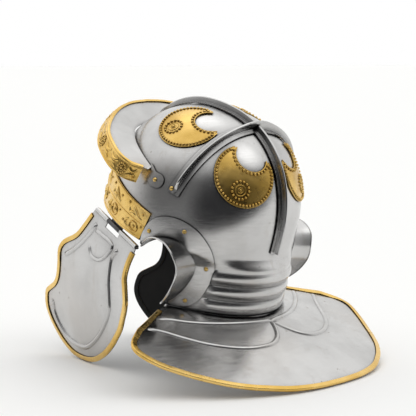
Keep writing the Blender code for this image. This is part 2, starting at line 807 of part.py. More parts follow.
def make_side_bar(root, steel):
    """Bar from ear to ear, which bridges the long bar where they cross."""
    bm = bmesh.new()
    left, right = side_bar_ends()
    path = []
    fins = []
    crossing = crossing_point()
    end_points = [side_bar_point(left), side_bar_point(right)]
    for index in range(BAR_STATIONS + 1):
        turn = mix(left, right, index / BAR_STATIONS)
        point = side_bar_point(turn)
        along = (side_bar_point(turn + 0.01) - side_bar_point(turn - 0.01)).normalized()
        normal = dome_normal(point)
        path.append((point, normal, normal.cross(along).normalized()))
        to_end = min((point - end).length for end in end_points)
        bridge = math.exp(-((point - crossing).length / BAR_BRIDGE_REACH) ** 2)
        fin = mix(BAR_END_FIN, BAR_FIN_HEIGHT, smooth_step((to_end - 0.4 * SIDE_BAR_TAB) / SIDE_BAR_TAB))
        fins.append(fin + bridge * (BAR_BRIDGE + SEAT_GAP))
    profile_sweep(bm, bar_loops(path, fins))
    bar = add_object("side_bar", bm, steel, root)
    around = math.asin(BAR_CROSSING_SHARE ** (0.5 * BOWL_DOME_POWER))
    cut_path = long_bar_path(around - 0.25, around + 0.25, 8)
    cutter = bmesh.new()
    profile_sweep(cutter, bar_loops(cut_path, [BAR_FIN_HEIGHT] * len(cut_path), SEAT_GAP))
    return combine(bar, cutter, 'DIFFERENCE', "long_bar_passage")


def crescent_frame(rosette, side):
    """Centre of the crescent's disc, and its directions to the crossing and across."""
    rosette_point = crown_point(*rosette)
    crossing = crossing_point()
    normal = dome_normal(rosette_point)
    toward = crossing - rosette_point
    toward = (toward - normal * toward.dot(normal)).normalized()
    centre = onto_crown(rosette_point + toward * ROSETTE_DROP)
    normal = dome_normal(centre)
    toward = crossing - centre
    toward = (toward - normal * toward.dot(normal)).normalized()
    return centre, toward, normal.cross(toward), side


def make_crescent(name, rosette, side, root, brass):
    bm = bmesh.new()
    centre, toward, across, side = crescent_frame(rosette, side)
    offset = CRESCENT_CUT_OFFSET
    reach = (offset ** 2 + CRESCENT_RADIUS ** 2 - CRESCENT_CUT_RADIUS ** 2) / (2.0 * offset)
    horn = math.acos(reach / CRESCENT_RADIUS)
    cut_horn = math.acos((reach - offset) / CRESCENT_CUT_RADIUS)
    blunt = 0.06
    columns = 3
    loops = []
    for index in range(CRESCENT_STATIONS):
        share = mix(blunt, 1.0 - blunt, index / (CRESCENT_STATIONS - 1))
        turn = mix(horn, 2.0 * math.pi - horn, share)
        cut_turn = mix(cut_horn, 2.0 * math.pi - cut_horn, share)
        outer = (CRESCENT_RADIUS * math.cos(turn), CRESCENT_RADIUS * math.sin(turn))
        inner = (offset + CRESCENT_CUT_RADIUS * math.cos(cut_turn), CRESCENT_CUT_RADIUS * math.sin(cut_turn))
        top = []
        bottom = []
        for column in range(columns + 1):
            part = column / columns
            way = centre + toward * mix(outer[0], inner[0], part) + across * mix(outer[1], inner[1], part)
            point = onto_crown(way)
            normal = dome_normal(point)
            top.append(mirrored(point + normal * (PLATE_LIFT + CRESCENT_THICKNESS), side))
            bottom.append(mirrored(point + normal * PLATE_LIFT, side))
        loops.append(plate_loop(top, bottom))
    sweep(bm, loops)
    return add_object(name, bm, brass, root)


def make_ear_guard(name, side, root, steel):
    """Plate riveted round the ear opening, with a flange that stands out over the ear."""
    bm = bmesh.new()
    plate_columns = 3
    low = PLATE_LIFT
    high = PLATE_LIFT + EAR_PLATE_THICKNESS
    loops = []
    for index in range(EAR_STATIONS):
        share = index / (EAR_STATIONS - 1)
        y, height, width, projection, flare = ear_edge(share)
        out_y, out_height = ear_edge_outward(share)
        top = []
        bottom = []
        for column in range(plate_columns + 1):
            distance = mix(width, 0.0, column / plate_columns)
            angle, level = side_place(y + out_y * distance, height + out_height * distance)
            bottom.append(lifted(angle, level, low))
            if column == plate_columns:
                angle, level = side_place(y + out_y * EAR_FLANGE_THICKNESS,
                                          height + out_height * EAR_FLANGE_THICKNESS)
            top.append(lifted(angle, level, high))
        for part in (0.5, 1.0):
            lean = flare * part ** 1.6
            rim = Vector((bottom[plate_columns].x + projection * part, y + out_y * lean,
                          height + out_height * lean))
            back = Vector((0.0, out_y, out_height)) * EAR_FLANGE_THICKNESS
            bottom.append(rim)
            top.append(rim + back)
        top = [mirrored(point, side) for point in top]
        bottom = [mirrored(point, side) for point in bottom]
        loops.append(plate_loop(top, bottom))
    sweep(bm, loops)
    return add_object(name, bm, steel, root)


def guard_rim(share):
    """Rim of the neck guard from its left front corner (0) round the rear to the right one (1)."""
    half = 1.0 - abs(2.0 * share - 1.0)
    across, reach, drop = curve_through(GUARD_RIM, half)
    side = 1.0 if share <= 0.5 else -1.0
    return Vector((side * across * GUARD_HALF_WIDTH, mix(GUARD_FRONT_Y, GUARD_REAR_Y, reach),
                   GUARD_FRONT_HEIGHT - drop * GUARD_DROP))


def guard_seat(share):
    """Inner edge of the neck guard, on the ledge under the nape's lower edge."""
    front = solve(lambda turn: skin(turn, -NAPE_DEPTH).y - GUARD_FRONT_Y, 0.0, 0.5 * math.pi)
    angle = mix(front, math.pi - front, share)
    point = skin(angle, -NAPE_DEPTH)
    inward = Vector((point.x, point.y, 0.0)).normalized()
    drop = SEAT_GAP + GUARD_THICKNESS * 0.5
    return point - inward * GUARD_LEDGE - Vector((0.0, 0.0, drop)), inward


def guard_point(share, out):
    """Middle of the neck guard's sheet: share round the neck, out from the neck (0) to the rim (1)."""
    seat, inward = guard_seat(share)
    ledge = seat + inward * (2.0 * GUARD_LEDGE)
    rim = guard_rim(share)
    if out <= 0.0:
        return seat
    reach = (out - 1.0 / GUARD_ROWS) / (1.0 - 1.0 / GUARD_ROWS)
    return ledge.lerp(rim, max(reach, 0.0))


def guard_share(index):
    return index / (GUARD_STATIONS - 1)


def make_neck_guard(root, steel):
    bm = bmesh.new()
    loops = []
    for index in range(GUARD_STATIONS):
        share = guard_share(index)
        half = Vector((0.0, 0.0, GUARD_THICKNESS * 0.5))
        middle = [guard_point(share, row / GUARD_ROWS) for row in range(GUARD_ROWS + 1)]
        loops.append(plate_loop([point + half for point in middle], [point - half for point in middle]))
    sweep(bm, loops)
    return add_object("neck_guard", bm, steel, root)


def edging_profile(sheet):
    """Fold of brass over a sheet's edge: inward distance and height, as a thick line."""
    half = sheet * 0.5 + EDGING_CLEARANCE
    outer = half + EDGING_THICKNESS
    end = EDGING_CLEARANCE + EDGING_THICKNESS
    return [(EDGING_WIDTH, outer), (-end, outer), (-end, -outer), (EDGING_WIDTH, -outer),
            (EDGING_WIDTH, -half), (-EDGING_CLEARANCE, -half), (-EDGING_CLEARANCE, half),
            (EDGING_WIDTH, half)]


def fold_edging(bm, stations, sheet):
    """Sweep the edging along stations of (point on the edge, point inside it on the sheet)."""
    loops = []
    last = len(stations) - 1
    for index, (point, inside) in enumerate(stations):
        before = (point - stations[index - 1][0]).normalized() if index else None
        after = (stations[index + 1][0] - point).normalized() if index < last else None
        along = ((before or after) + (after or before)).normalized()
        mitre = 1.0 / max(along.dot(before or after), 0.6)
        inward = inside - point
        inward = (inward - along * inward.dot(along)).normalized()
        up = along.cross(inward).normalized()
        profile = edging_profile(sheet)
        loops.append([point + inward * (way * mitre) + up * rise for way, rise in profile])
    sweep(bm, loops)


def make_neck_guard_trim(root, brass):
    """Brass edging along the guard's front edges and round its rim."""
    bm = bmesh.new()
    front_rows = (0.4, 0.6, 0.8)
    inner = 1.0 - 1.0 / GUARD_ROWS
    beside = guard_share(1)
    stations = [(guard_point(0.0, out), guard_point(beside, out)) for out in front_rows]
    stations.append((guard_rim(0.0), guard_point(beside, inner)))
    for index in range(1, GUARD_STATIONS - 1):
        share = guard_share(index)
        stations.append((guard_rim(share), guard_point(share, inner)))
    stations.append((guard_rim(1.0), guard_point(1.0 - beside, inner)))
    for out in reversed(front_rows):
        stations.append((guard_point(1.0, out), guard_point(1.0 - beside, out)))
    fold_edging(bm, stations, GUARD_THICKNESS)
    return add_object("neck_guard_trim", bm, brass, root)


# Cheek pieces, in a frame on the hinge: X forward along the pin, Y down the plate, Z outward

def hinge_frame(side):
    """Matrix of the hinge's frame in the helmet's frame. On the right side its Z points inward."""
    forward = (HINGE_FRONT - HINGE_REAR).normalized()
    plumb = Vector((0.0, -math.sin(CHEEK_PLUMB_PITCH), -math.cos(CHEEK_PLUMB_PITCH)))
    plumb = (plumb - forward * plumb.dot(forward)).normalized()
    outward = forward.cross(plumb)
    down = plumb * math.cos(CHEEK_SWING) + outward * math.sin(CHEEK_SWING)
    axes = [mirrored(forward, side), mirrored(down, side)]
    axes.append(axes[0].cross(axes[1]))
    frame = Matrix.Identity(4)
    for column, axis in enumerate(axes):
        for row in range(3):
            frame[row][column] = axis[row]
    place = mirrored(HINGE_REAR, side) * MM
    frame.translation = place
    return frame


def hinge_length():
    return (HINGE_FRONT - HINGE_REAR).length


def cheek_point(forward, down, lift, side):
    """Point on the plate, which bends inward with the square of the way down."""
    bend = CHEEK_BOW / CHEEK_LENGTH ** 2
    slope = 2.0 * bend * down
    scale = 1.0 / math.sqrt(1.0 + slope * slope)
    normal_down = slope * scale
    return Vector((forward, down + lift * normal_down, side * (lift * scale - bend * down * down)))


def cheek_row(share):
    down, front, rear = curve_through(CHEEK_ROWS, share)
    return down * CHEEK_LENGTH, front * CHEEK_LENGTH, rear * CHEEK_LENGTH


def make_cheek_piece(name, side, hinge, steel):
    bm = bmesh.new()
    loops = []
    half = CHEEK_THICKNESS * 0.5
    rows = len(CHEEK_ROWS) - 1
    for index in range(rows + 1):
        down, front, rear = cheek_row(index / rows)
        top = []
        bottom = []
        for column in range(CHEEK_COLUMNS + 1):
            forward = mix(front, rear, column / CHEEK_COLUMNS)
            top.append(cheek_point(forward, down, half, side))
            bottom.append(cheek_point(forward, down, -half, side))
        loops.append(plate_loop(top, bottom))
    sweep(bm, loops)
    piece = add_object(name, bm, steel, hinge)
    notch = bmesh.new()
    box(notch, (CENTRE_KNUCKLE_START - KNUCKLE_GAP, -2.0 * KNUCKLE_RADIUS, -NOTCH_DEPTH),
        (CENTRE_KNUCKLE_END + KNUCKLE_GAP, NOTCH_DEPTH, NOTCH_DEPTH))
    combine(piece, notch, 'DIFFERENCE', "hinge_notch")
    spans = [(0.0, CENTRE_KNUCKLE_START - KNUCKLE_GAP), (CENTRE_KNUCKLE_END + KNUCKLE_GAP, hinge_length())]
    for start, end in spans:
        knuckle = bmesh.new()
        round_bar(knuckle, Vector((start, 0.0, 0.0)), Vector((end, 0.0, 0.0)), KNUCKLE_RADIUS)
        combine(piece, knuckle, 'UNION', "knuckle")
    bore = bmesh.new()
    round_bar(bore, Vector((-BORE_OVERRUN, 0.0, 0.0)), Vector((hinge_length() + BORE_OVERRUN, 0.0, 0.0)),
              PIN_RADIUS + PIN_CLEARANCE)
    return combine(piece, bore, 'DIFFERENCE', "pin_bore")


def make_cheek_trim(name, side, hinge, brass):
    """Brass edging from the hinge's front down round the tip and up to the hinge's rear."""
    bm = bmesh.new()
    rows = len(CHEEK_ROWS) - 1
    first = 1
    stations = []
    for edge, order in ((1, range(first, rows + 1)), (2, range(rows, first - 1, -1))):
        for index in order:
            row = cheek_row(index / rows)
            down = row[0]
            middle = 0.5 * (row[1] + row[2])
            rise = 0.0
            if index >= rows - 2:
                rise = 0.04 * CHEEK_LENGTH * (index - rows + 3)
            stations.append((cheek_point(row[edge], down, 0.0, side),
                             cheek_point(mix(row[edge], middle, 0.4), down - rise, 0.0, side)))
    fold_edging(bm, stations, CHEEK_THICKNESS)
    return add_object(name, bm, brass, hinge)


def make_hinge_leaf(name, side, fixed_hinge, steel):
    """Centre knuckle with a leaf that rises inside the bowl's wall."""
    bm = bmesh.new()
    round_bar(bm, Vector((CENTRE_KNUCKLE_START, 0.0, 0.0)), Vector((CENTRE_KNUCKLE_END, 0.0, 0.0)),
              KNUCKLE_RADIUS)
    leaf = add_object(name, bm, steel, fixed_hinge)
    plate = bmesh.new()
    wall_inside = hinge_wall_offset() - BOWL_WALL + HINGE_LEAF_OUTSET
    turn = Matrix.Rotation(side * CHEEK_SWING, 4, 'X')
    low = (CENTRE_KNUCKLE_START + HINGE_LEAF_END_GAP, -HINGE_LEAF_HEIGHT,
           wall_inside - HINGE_LEAF_THICKNESS)
    high = (CENTRE_KNUCKLE_END - HINGE_LEAF_END_GAP, HINGE_LEAF_OVERLAP, wall_inside)
    if side < 0.0:
        low, high = (low[0], low[1], -high[2]), (high[0], high[1], -low[2])
    box(plate, low, high)
    bmesh.ops.transform(plate, matrix=turn, verts=plate.verts)
    combine(leaf, plate, 'UNION', "leaf_plate")
    bore = bmesh.new()
    round_bar(bore, Vector((CENTRE_KNUCKLE_START - BORE_OVERRUN, 0.0, 0.0)),
              Vector((CENTRE_KNUCKLE_END + BORE_OVERRUN, 0.0, 0.0)), PIN_RADIUS + PIN_CLEARANCE)
    return combine(leaf, bore, 'DIFFERENCE', "leaf_bore")


def hinge_wall_offset():
    """Distance of the bowl's skin outside the pin's line, half way along the centre knuckle."""
    share = 0.5 * (CENTRE_KNUCKLE_START + CENTRE_KNUCKLE_END) / hinge_length()
    middle = HINGE_REAR.lerp(HINGE_FRONT, share)
    angle = solve(lambda turn: skin(turn, 0.0).y - middle.y, -0.5 * math.pi, 0.5 * math.pi)
    return skin(angle, 0.0).x - middle.x


def make_hinge_pin(name, fixed_hinge, steel):
    bm = bmesh.new()
    front_end = hinge_length() + PIN_FRONT_END
    round_bar(bm, Vector((-PIN_REAR_END, 0.0, 0.0)), Vector((front_end, 0.0, 0.0)), PIN_RADIUS)
    return add_object(name, bm, steel, fixed_hinge)


def make_rivet(name, point, normal, radius, root, brass):
    """Domed head with a flat underside, seated on a plate."""
    bm = bmesh.new()
    side = normal.orthogonal().normalized()
    other = normal.cross(side)
    height = RIVET_HEIGHT * radius / RIVET_RADIUS
    rings = []
    for share in (0.0, 0.6):
        ring = []
        for index in range(RIVET_SIDES):
            turn = 2.0 * math.pi * index / RIVET_SIDES
            way = side * math.cos(turn) + other * math.sin(turn)
            size = radius * math.sqrt(1.0 - share * share)
            ring.append(bm.verts.new(way * size + normal * (height * share)))
        rings.append(ring)
    top = bm.verts.new(normal * height)
    for index in range(RIVET_SIDES):
        after = (index + 1) % RIVET_SIDES
        bm.faces.new((rings[0][index], rings[0][after], rings[1][after], rings[1][index]))
        bm.faces.new((rings[1][index], rings[1][after], top))
    bm.faces.new(rings[0])
    made = add_object(name, bm, brass, root)
    made.location = point * MM
    return made


def rivet_spots():
    """Name, side-free point on the carrying plate, direction and radius of each rivet."""
    spots = []
    plate_top = PLATE_LIFT + EAR_PLATE_THICKNESS + SEAT_GAP
    for number, share in enumerate(EAR_RIVET_PLACES, start=1):
        y, height, width = ear_edge(share)[:3]
        out_y, out_height = ear_edge_outward(share)
        angle, level = side_place(y + out_y * 0.6 * width, height + out_height * 0.6 * width)
        spots.append((f"ear_rivet_{number}", lifted(angle, level, plate_top),
                      skin_normal(angle, level), RIVET_RADIUS))
    angle, level = peak_tab_place()
    peak_top = SEAT_GAP + PEAK_THICKNESS + SEAT_GAP
    spots.append(("brow_guard_rivet", lifted(angle, level, peak_top), skin_normal(angle, level),
                  RIVET_RADIUS))
    turn = side_bar_ends()[0] + 0.045
    point = side_bar_point(turn)
    normal = dome_normal(point)
    forward = Vector((0.0, -1.0, 0.0))
    forward = (forward - normal * forward.dot(normal)).normalized()
    bar_top = PLATE_LIFT + BAR_FLANGE + SEAT_GAP
    place = point + forward * RIVET_BESIDE_FIN + normal * bar_top
    spots.append(("side_bar_rivet", place, normal, RIVET_RADIUS))
    return spots


def make_rivets(root, brass):
    for side, word in ((1.0, "left"), (-1.0, "right")):
        for name, point, normal, radius in rivet_spots():
            make_rivet(f"{name}_{word}", mirrored(point, side), mirrored(normal, side), radius, root, brass)
    bar_top = PLATE_LIFT + BAR_FLANGE + SEAT_GAP
    beside_fin = Vector((-RIVET_BESIDE_FIN, 0.0, 0.0))
    rear_angle = 0.5 * math.pi
    rear_level = 0.5 * LONG_BAR_REAR_HEIGHT
    rear_normal = skin_normal(rear_angle, rear_level)
    rear = skin(rear_angle, rear_level) + beside_fin + rear_normal * (bar_top + 0.5 * SEAT_GAP)
    make_rivet("long_bar_rear_rivet", rear, rear_normal, RIVET_RADIUS, root, brass)
    front_point = long_bar_point(long_bar_ends()[0] + 0.04)
    normal = dome_normal(front_point)
    place = front_point + beside_fin + normal * bar_top
    make_rivet("long_bar_front_rivet", place, normal, SMALL_RIVET_RADIUS, root, brass)


def add_empty(name, parent, frame=None):
    empty = bpy.data.objects.new(name, None)
    bpy.context.collection.objects.link(empty)
    empty.parent = parent
    if frame is not None:
        empty.matrix_local = frame
    return empty


def make_cheek_assembly(side, word, root, steel, brass, dark_steel):
    hinge = add_empty(f"{word}_hinge_axis", root, hinge_frame(side))
    make_cheek_piece(f"cheek_piece_{word}", side, hinge, steel)
    make_cheek_trim(f"cheek_trim_{word}", side, hinge, brass)
    make_hinge_leaf(f"hinge_leaf_{word}", side, hinge, dark_steel)
    make_hinge_pin(f"hinge_pin_{word}", hinge, dark_steel)


def points_of(prefix):
    points = []
    for piece in bpy.context.scene.objects:
        if piece.type == 'MESH' and piece.name.startswith(prefix):
            points += [piece.matrix_world @ vertex.co for vertex in piece.data.vertices]
    return points


def settle(root):
    """Pitch the helmet back until the cheek tips and the neck guard's rim are level, then centre it."""
    bpy.context.view_layer.update()
    front = points_of("cheek_")
    rear = points_of("neck_guard")

    def difference(pitch):
        cosine = math.cos(pitch)
        sine = math.sin(pitch)
        return min(p.z * cosine - p.y * sine for p in front) - min(p.z * cosine - p.y * sine for p in rear)

    pitch = solve(difference, math.radians(2.0), math.radians(40.0), 30)
    root.rotation_euler = (-pitch, 0.0, 0.0)
    bpy.context.view_layer.update()
    points = points_of("")
    low = [min(point[axis] for point in points) for axis in range(3)]
    high = [max(point[axis] for point in points) for axis in range(3)]
    root.location = (-0.5 * (low[0] + high[0]), -0.5 * (low[1] + high[1]), -low[2])
    bpy.context.view_layer.update()


def build():
    clear_scene()
    steel = metal("polished_steel", STEEL, 0.28)
    dark_steel = metal("dark_steel", DARK_STEEL, 0.4)
    brass = metal("brass", BRASS, 0.3)
    old_brass = metal("old_brass", OLD_BRASS, 0.36)
    root = add_empty("helmet", None)
    make_bowl(root, steel)
    make_neck_guard(root, steel)
    make_neck_guard_trim(root, brass)
    make_brow_band(root, brass)
    make_brow_guard(root, steel)
    make_brow_guard_trim(root, brass)
    make_long_bar(root, steel)
    make_side_bar(root, steel)
    for side, word in ((1.0, "left"), (-1.0, "right")):
        make_crescent(f"crescent_front_{word}", FRONT_ROSETTE, side, root, old_brass)
        make_crescent(f"crescent_rear_{word}", REAR_ROSETTE, side, root, old_brass)
        make_ear_guard(f"ear_guard_{word}", side, root, steel)
        make_cheek_assembly(side, word, root, steel, brass, dark_steel)
    make_rivets(root, brass)
    settle(root)


build()
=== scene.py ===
"""Visual model of the Roman infantry helmet, built in the CAD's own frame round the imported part.

Lengths are in millimetres in the helmet's own frame, as in the part's source: front is -Y, the
wearer's left is +X, up is +Z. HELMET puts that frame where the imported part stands.
"""
import math

import bmesh
import bpy
from mathutils import Matrix, Vector


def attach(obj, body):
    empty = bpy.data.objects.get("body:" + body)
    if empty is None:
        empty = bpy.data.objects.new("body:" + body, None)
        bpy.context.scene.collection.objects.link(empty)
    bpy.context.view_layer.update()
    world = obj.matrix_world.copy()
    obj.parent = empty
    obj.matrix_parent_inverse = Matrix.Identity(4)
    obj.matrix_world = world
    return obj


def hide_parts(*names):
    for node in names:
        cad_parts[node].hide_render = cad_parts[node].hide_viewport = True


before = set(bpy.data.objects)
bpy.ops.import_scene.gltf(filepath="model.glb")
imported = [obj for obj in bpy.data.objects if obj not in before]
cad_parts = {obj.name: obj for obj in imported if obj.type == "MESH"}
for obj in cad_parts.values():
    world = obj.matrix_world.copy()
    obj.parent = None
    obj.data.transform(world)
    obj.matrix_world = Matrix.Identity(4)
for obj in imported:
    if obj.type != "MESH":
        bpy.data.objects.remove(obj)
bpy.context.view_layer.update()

MM = 0.001
HELMET_PITCH = math.radians(17.7094)
HELMET_PLACE = Vector((0.0, -9.24732, 164.56829)) * MM
HELMET = Matrix.Translation(HELMET_PLACE) @ Matrix.Rotation(-HELMET_PITCH, 4, 'X')

# Bowl
BOWL_HALF_WIDTH = 100.0
BOWL_HALF_LENGTH = 103.5
BOWL_HEIGHT = 109.4
BOWL_PLAN_POWER = 2.03
BOWL_DOME_POWER = 2.26
BOWL_WALL = 1.2
BOWL_COLUMNS = 240
BOWL_DOME_ROWS = 34
BOWL_WALL_ROWS = 12

# Nape and its ribs
NAPE_HALF_WIDTH = 89.4
NAPE_HALF_LENGTH = 113.5
NAPE_SHIFT = -1.7
NAPE_DEPTH = 83.0
NAPE_TILT = 0.067
NAPE_REAR_SINE = 0.6
NAPE_FLARE_START = 0.35
RIB_SIDE_SINE = 0.725
RIB_LOW_SIDE_SINE = 0.690
RIB_FADE_SINE = 0.05
RIB_START_SHARE = 0.44
RIB_COUNT = 3
RIB_RELIEF = 2.6
RIB_ROWS = 14
RIB_ROUNDNESS = 0.72

# Brow edge and brow band
BROW_EDGE_HEIGHT = -22.0
BROW_EDGE_SLOPE = -0.101
BROW_TOP_HEIGHT = 11.6
BROW_TOP_SLOPE = -0.24
BROW_BAND_REAR = 15.0
BROW_BAND_REAR_LEAN = 0.2
BAND_THICKNESS = 1.0
BAND_COLUMNS = 150
BAND_ROWS = 12

SEAT_GAP = 0.3
PLATE_LIFT = 0.6

# Cross bars
BAR_HALF_WIDTH = 6.5
BAR_FLANGE = 1.2
BAR_FIN_HALF_WIDTH = 1.5
BAR_FIN_HEIGHT = 6.0
BAR_END_FIN = 0.6
BAR_FILLET = 1.3
BAR_CROSSING_Y = 41.3
LONG_BAR_FRONT_HEIGHT = 67.5
LONG_BAR_REAR_HEIGHT = -9.0
SIDE_BAR_END_HEIGHT = 35.5
SIDE_BAR_LEAN = math.radians(8.5)
SIDE_BAR_TAB = 10.0
BAR_BRIDGE = 3.6
BAR_BRIDGE_REACH = 24.0
BAR_STATIONS = 110
BAR_SOFT_EDGE = 0.55

# Crescent plates
CRESCENT_RADIUS = 34.0
CRESCENT_CUT_RADIUS = 17.5
CRESCENT_CUT_OFFSET = 23.0
CRESCENT_THICKNESS = 1.0
ROSETTE_DROP = 17.0
CRESCENT_STATIONS = 90
CRESCENT_COLUMNS = 10
REAR_ROSETTE = (0.49 * BOWL_HALF_WIDTH, 0.7633 * BOWL_HALF_LENGTH)
FRONT_ROSETTE = (0.63 * BOWL_HALF_WIDTH, -0.116 * BOWL_HALF_LENGTH)
PEARL_RADIUS = 1.6
PEARL_HEIGHT = 1.9
PEARL_SPACING = 4.3
PEARL_INSET = 2.7
RIM_LINE_INSET = 0.7
ROSETTE_PEARL_RING = 9.0
ROSETTE_PEARLS = 15
ROSETTE_RINGS = (5.6, 2.6)

# Brow guard
PEAK_HALF_WIDTH = 115.0
PEAK_REACH = 112.0
PEAK_RIM_HEIGHT = 47.5
PEAK_RIM_SLOPE = -0.30
PEAK_SEAT_FRONT_HEIGHT = 65.0
PEAK_SEAT_DROP = 16.0
PEAK_THICKNESS = 1.2
PEAK_START_ANGLE = math.radians(-2.5)
PEAK_BAND_HEIGHT = 17.0
PEAK_BAND_FLARE = 2.5
PEAK_BAND_LIP = 1.2
PEAK_STATIONS = 14
PEAK_FINENESS = 6
PEAK_TAB_HALF_WIDTH = 7.0
PEAK_TAB_REACH = 17.0
PEAK_TAB_HEIGHT = 41.5
# columns: share of PEAK_HALF_WIDTH, share of PEAK_REACH
PEAK_RIM = [
    (0.840, 0.040),
    (0.905, 0.085),
    (0.980, 0.150),
    (1.000, 0.268),
    (0.957, 0.417),
    (0.882, 0.563),
    (0.763, 0.691),
    (0.591, 0.820),
    (0.416, 0.915),
    (0.218, 0.980),
    (0.000, 1.000),
]

# Ear guard
EAR_Y = 40.0
EAR_HEIGHT = -45.0
EAR_SIZE = 70.0
EAR_PLATE_THICKNESS = 1.0
EAR_FLANGE_THICKNESS = 1.0
EAR_CUT_MARGIN = 0.6
EAR_STATIONS = 73
EAR_BEAD = 0.9
EAR_RIVET_PLACES = (0.125, 0.37, 0.62, 0.87)
# columns: y, height, width of the plate, projection and flare of the flange, shares of EAR_SIZE
EAR_EDGE = [
    (-0.380, 0.240, 0.060, 0.030, 0.000),
    (-0.286, 0.343, 0.185, 0.115, 0.010),
    (-0.157, 0.443, 0.290, 0.200, 0.025),
    (-0.029, 0.500, 0.320, 0.275, 0.030),
    (0.086, 0.512, 0.315, 0.345, 0.035),
    (0.190, 0.480, 0.290, 0.405, 0.055),
    (0.286, 0.386, 0.260, 0.470, 0.090),
    (0.343, 0.243, 0.245, 0.520, 0.110),
    (0.357, 0.100, 0.235, 0.535, 0.110),
    (0.320, -0.071, 0.240, 0.490, 0.095),
    (0.257, -0.230, 0.240, 0.400, 0.070),
    (0.186, -0.350, 0.175, 0.290, 0.045),
    (0.114, -0.435, 0.060, 0.160, 0.020),
]

# Neck guard
GUARD_HALF_WIDTH = 174.5
GUARD_FRONT_Y = 47.0
GUARD_REAR_Y = 225.5
GUARD_FRONT_HEIGHT = -87.0
GUARD_DROP = 14.0
GUARD_THICKNESS = 1.2
GUARD_LEDGE = 1.6
GUARD_STATIONS = 33
GUARD_FINENESS = 5
GUARD_ROWS = 5
GUARD_FINE_ROWS = 16
# columns: share of GUARD_HALF_WIDTH, share of the way from front to rear, share of GUARD_DROP
GUARD_RIM = [
    (0.850, 0.150, 0.000),
    (0.960, 0.218, 0.340),
    (1.000, 0.300, 0.570),
    (0.957, 0.425, 0.850),
    (0.882, 0.542, 0.970),
    (0.805, 0.645, 1.000),
    (0.724, 0.736, 1.000),
    (0.633, 0.812, 0.980),
    (0.538, 0.873, 0.930),
    (0.395, 0.944, 0.870),
    (0.205, 0.988, 0.820),
    (0.000, 1.000, 0.800),
]
# Raised lines on the guard's left half: the line round the neck and the half-moon beside it
# columns: share of GUARD_HALF_WIDTH, share of GUARD_REAR_Y
NECK_LINE = [
    (0.000, 0.541),
    (0.126, 0.526),
    (0.264, 0.492),
    (0.390, 0.443),
    (0.519, 0.373),
    (0.636, 0.290),
]
MOON_LINE = [
    (0.010, 0.552),
    (0.044, 0.602),
    (0.102, 0.650),
    (0.189, 0.678),
    (0.298, 0.669),
    (0.378, 0.647),
    (0.464, 0.608),
    (0.556, 0.545),
    (0.636, 0.466),
    (0.705, 0.395),
    (0.779, 0.333),
]

# Brass edging
EDGING_WIDTH = 4.2
EDGING_THICKNESS = 0.8
EDGING_CLEARANCE = 0.6
EDGING_ROUND_STEPS = 6

# Cheek pieces
HINGE_REAR = Vector((106.1, 12.0, -29.0))
HINGE_FRONT = Vector((87.7, -67.5, -20.9))
CHEEK_SWING = math.radians(9.5)
CHEEK_PLUMB_PITCH = math.radians(13.5)
CHEEK_LENGTH = 161.0
CHEEK_BEND = 0.0018
CHEEK_THICKNESS = 1.2
CHEEK_COLUMNS = 16
CHEEK_FINENESS = 5
KNUCKLE_RADIUS = 2.7
PIN_RADIUS = 1.3
PIN_CLEARANCE = 0.3
BORE_REACH = 4.0
KNUCKLE_GAP = 0.5
CENTRE_KNUCKLE_START = 33.0
CENTRE_KNUCKLE_END = 57.0
NOTCH_DEPTH = 8.0
HINGE_LEAF_HEIGHT = 20.0
HINGE_LEAF_THICKNESS = 1.0
HINGE_LEAF_OUTSET = 0.6
ROUND_SIDES = 28
# columns: way down, front edge, rear edge, shares of CHEEK_LENGTH
CHEEK_ROWS = [
    (0.012, 0.526, 0.000),
    (0.045, 0.535, -0.003),
    (0.130, 0.559, -0.006),
    (0.210, 0.590, -0.025),
    (0.260, 0.627, -0.062),
    (0.330, 0.702, -0.112),
    (0.380, 0.733, -0.130),
    (0.430, 0.739, -0.137),
    (0.515, 0.708, -0.140),
    (0.590, 0.696, -0.118),
    (0.650, 0.714, -0.093),
    (0.700, 0.758, -0.065),
    (0.750, 0.801, -0.031),
    (0.800, 0.807, 0.012),
    (0.865, 0.789, 0.081),
    (0.920, 0.733, 0.168),
    (0.963, 0.646, 0.267),
    (0.990, 0.560, 0.360),
    (1.000, 0.485, 0.415),
]
# Raised lines on a cheek piece, as shares of CHEEK_LENGTH
# columns: forward from the hinge's rear end, down
CHEEK_SLANT = [(0.447, 0.075), (0.466, 0.143), (0.516, 0.248), (0.584, 0.342), (0.658, 0.416)]
CHEEK_DROP = [
    (0.429, 0.112),
    (0.224, 0.106),
    (0.230, 0.190),
    (0.290, 0.255),
    (0.380, 0.272),
    (0.435, 0.230),
]
CHEEK_BORDER = [
    (0.149, 0.106),
    (0.174, 0.174),
    (0.149, 0.255),
    (0.118, 0.323),
    (0.075, 0.391),
    (0.030, 0.478),
    (0.043, 0.590),
    (0.110, 0.730),
    (0.240, 0.863),
    (0.435, 0.925),
    (0.578, 0.907),
    (0.680, 0.850),
    (0.715, 0.780),
]
LINE_HALF_WIDTH = 2.6
DROP_HALF_WIDTH = 2.1
LINE_HEIGHT = 1.8
LINE_END_STEPS = 3.0
LINE_END_SHARE = 0.25
# Profile of a raised line from side to side
# columns: share of its half width, share of its height
LINE_PROFILE = [
    (-1.00, 0.00),
    (-0.72, 0.50),
    (-0.38, 0.88),
    (0.00, 1.00),
    (0.38, 0.88),
    (0.72, 0.50),
    (1.00, 0.00),
]
# Foot of raised work, sunk into the sheet, and a dome's rings as angles up from its foot
FOOT_SINK = 0.4
DOME_RINGS = (0.0, 0.35, 0.75, 1.15)

# Rivets
RIVET_RADIUS = 2.2
RIVET_HEIGHT = 1.3
SMALL_RIVET_RADIUS = 1.6
FRONT_RIVET_ASIDE = Vector((-4.0, 0.0, 0.0))
REAR_RIVET_ASIDE = Vector((-5.6, 0.0, 0.0))

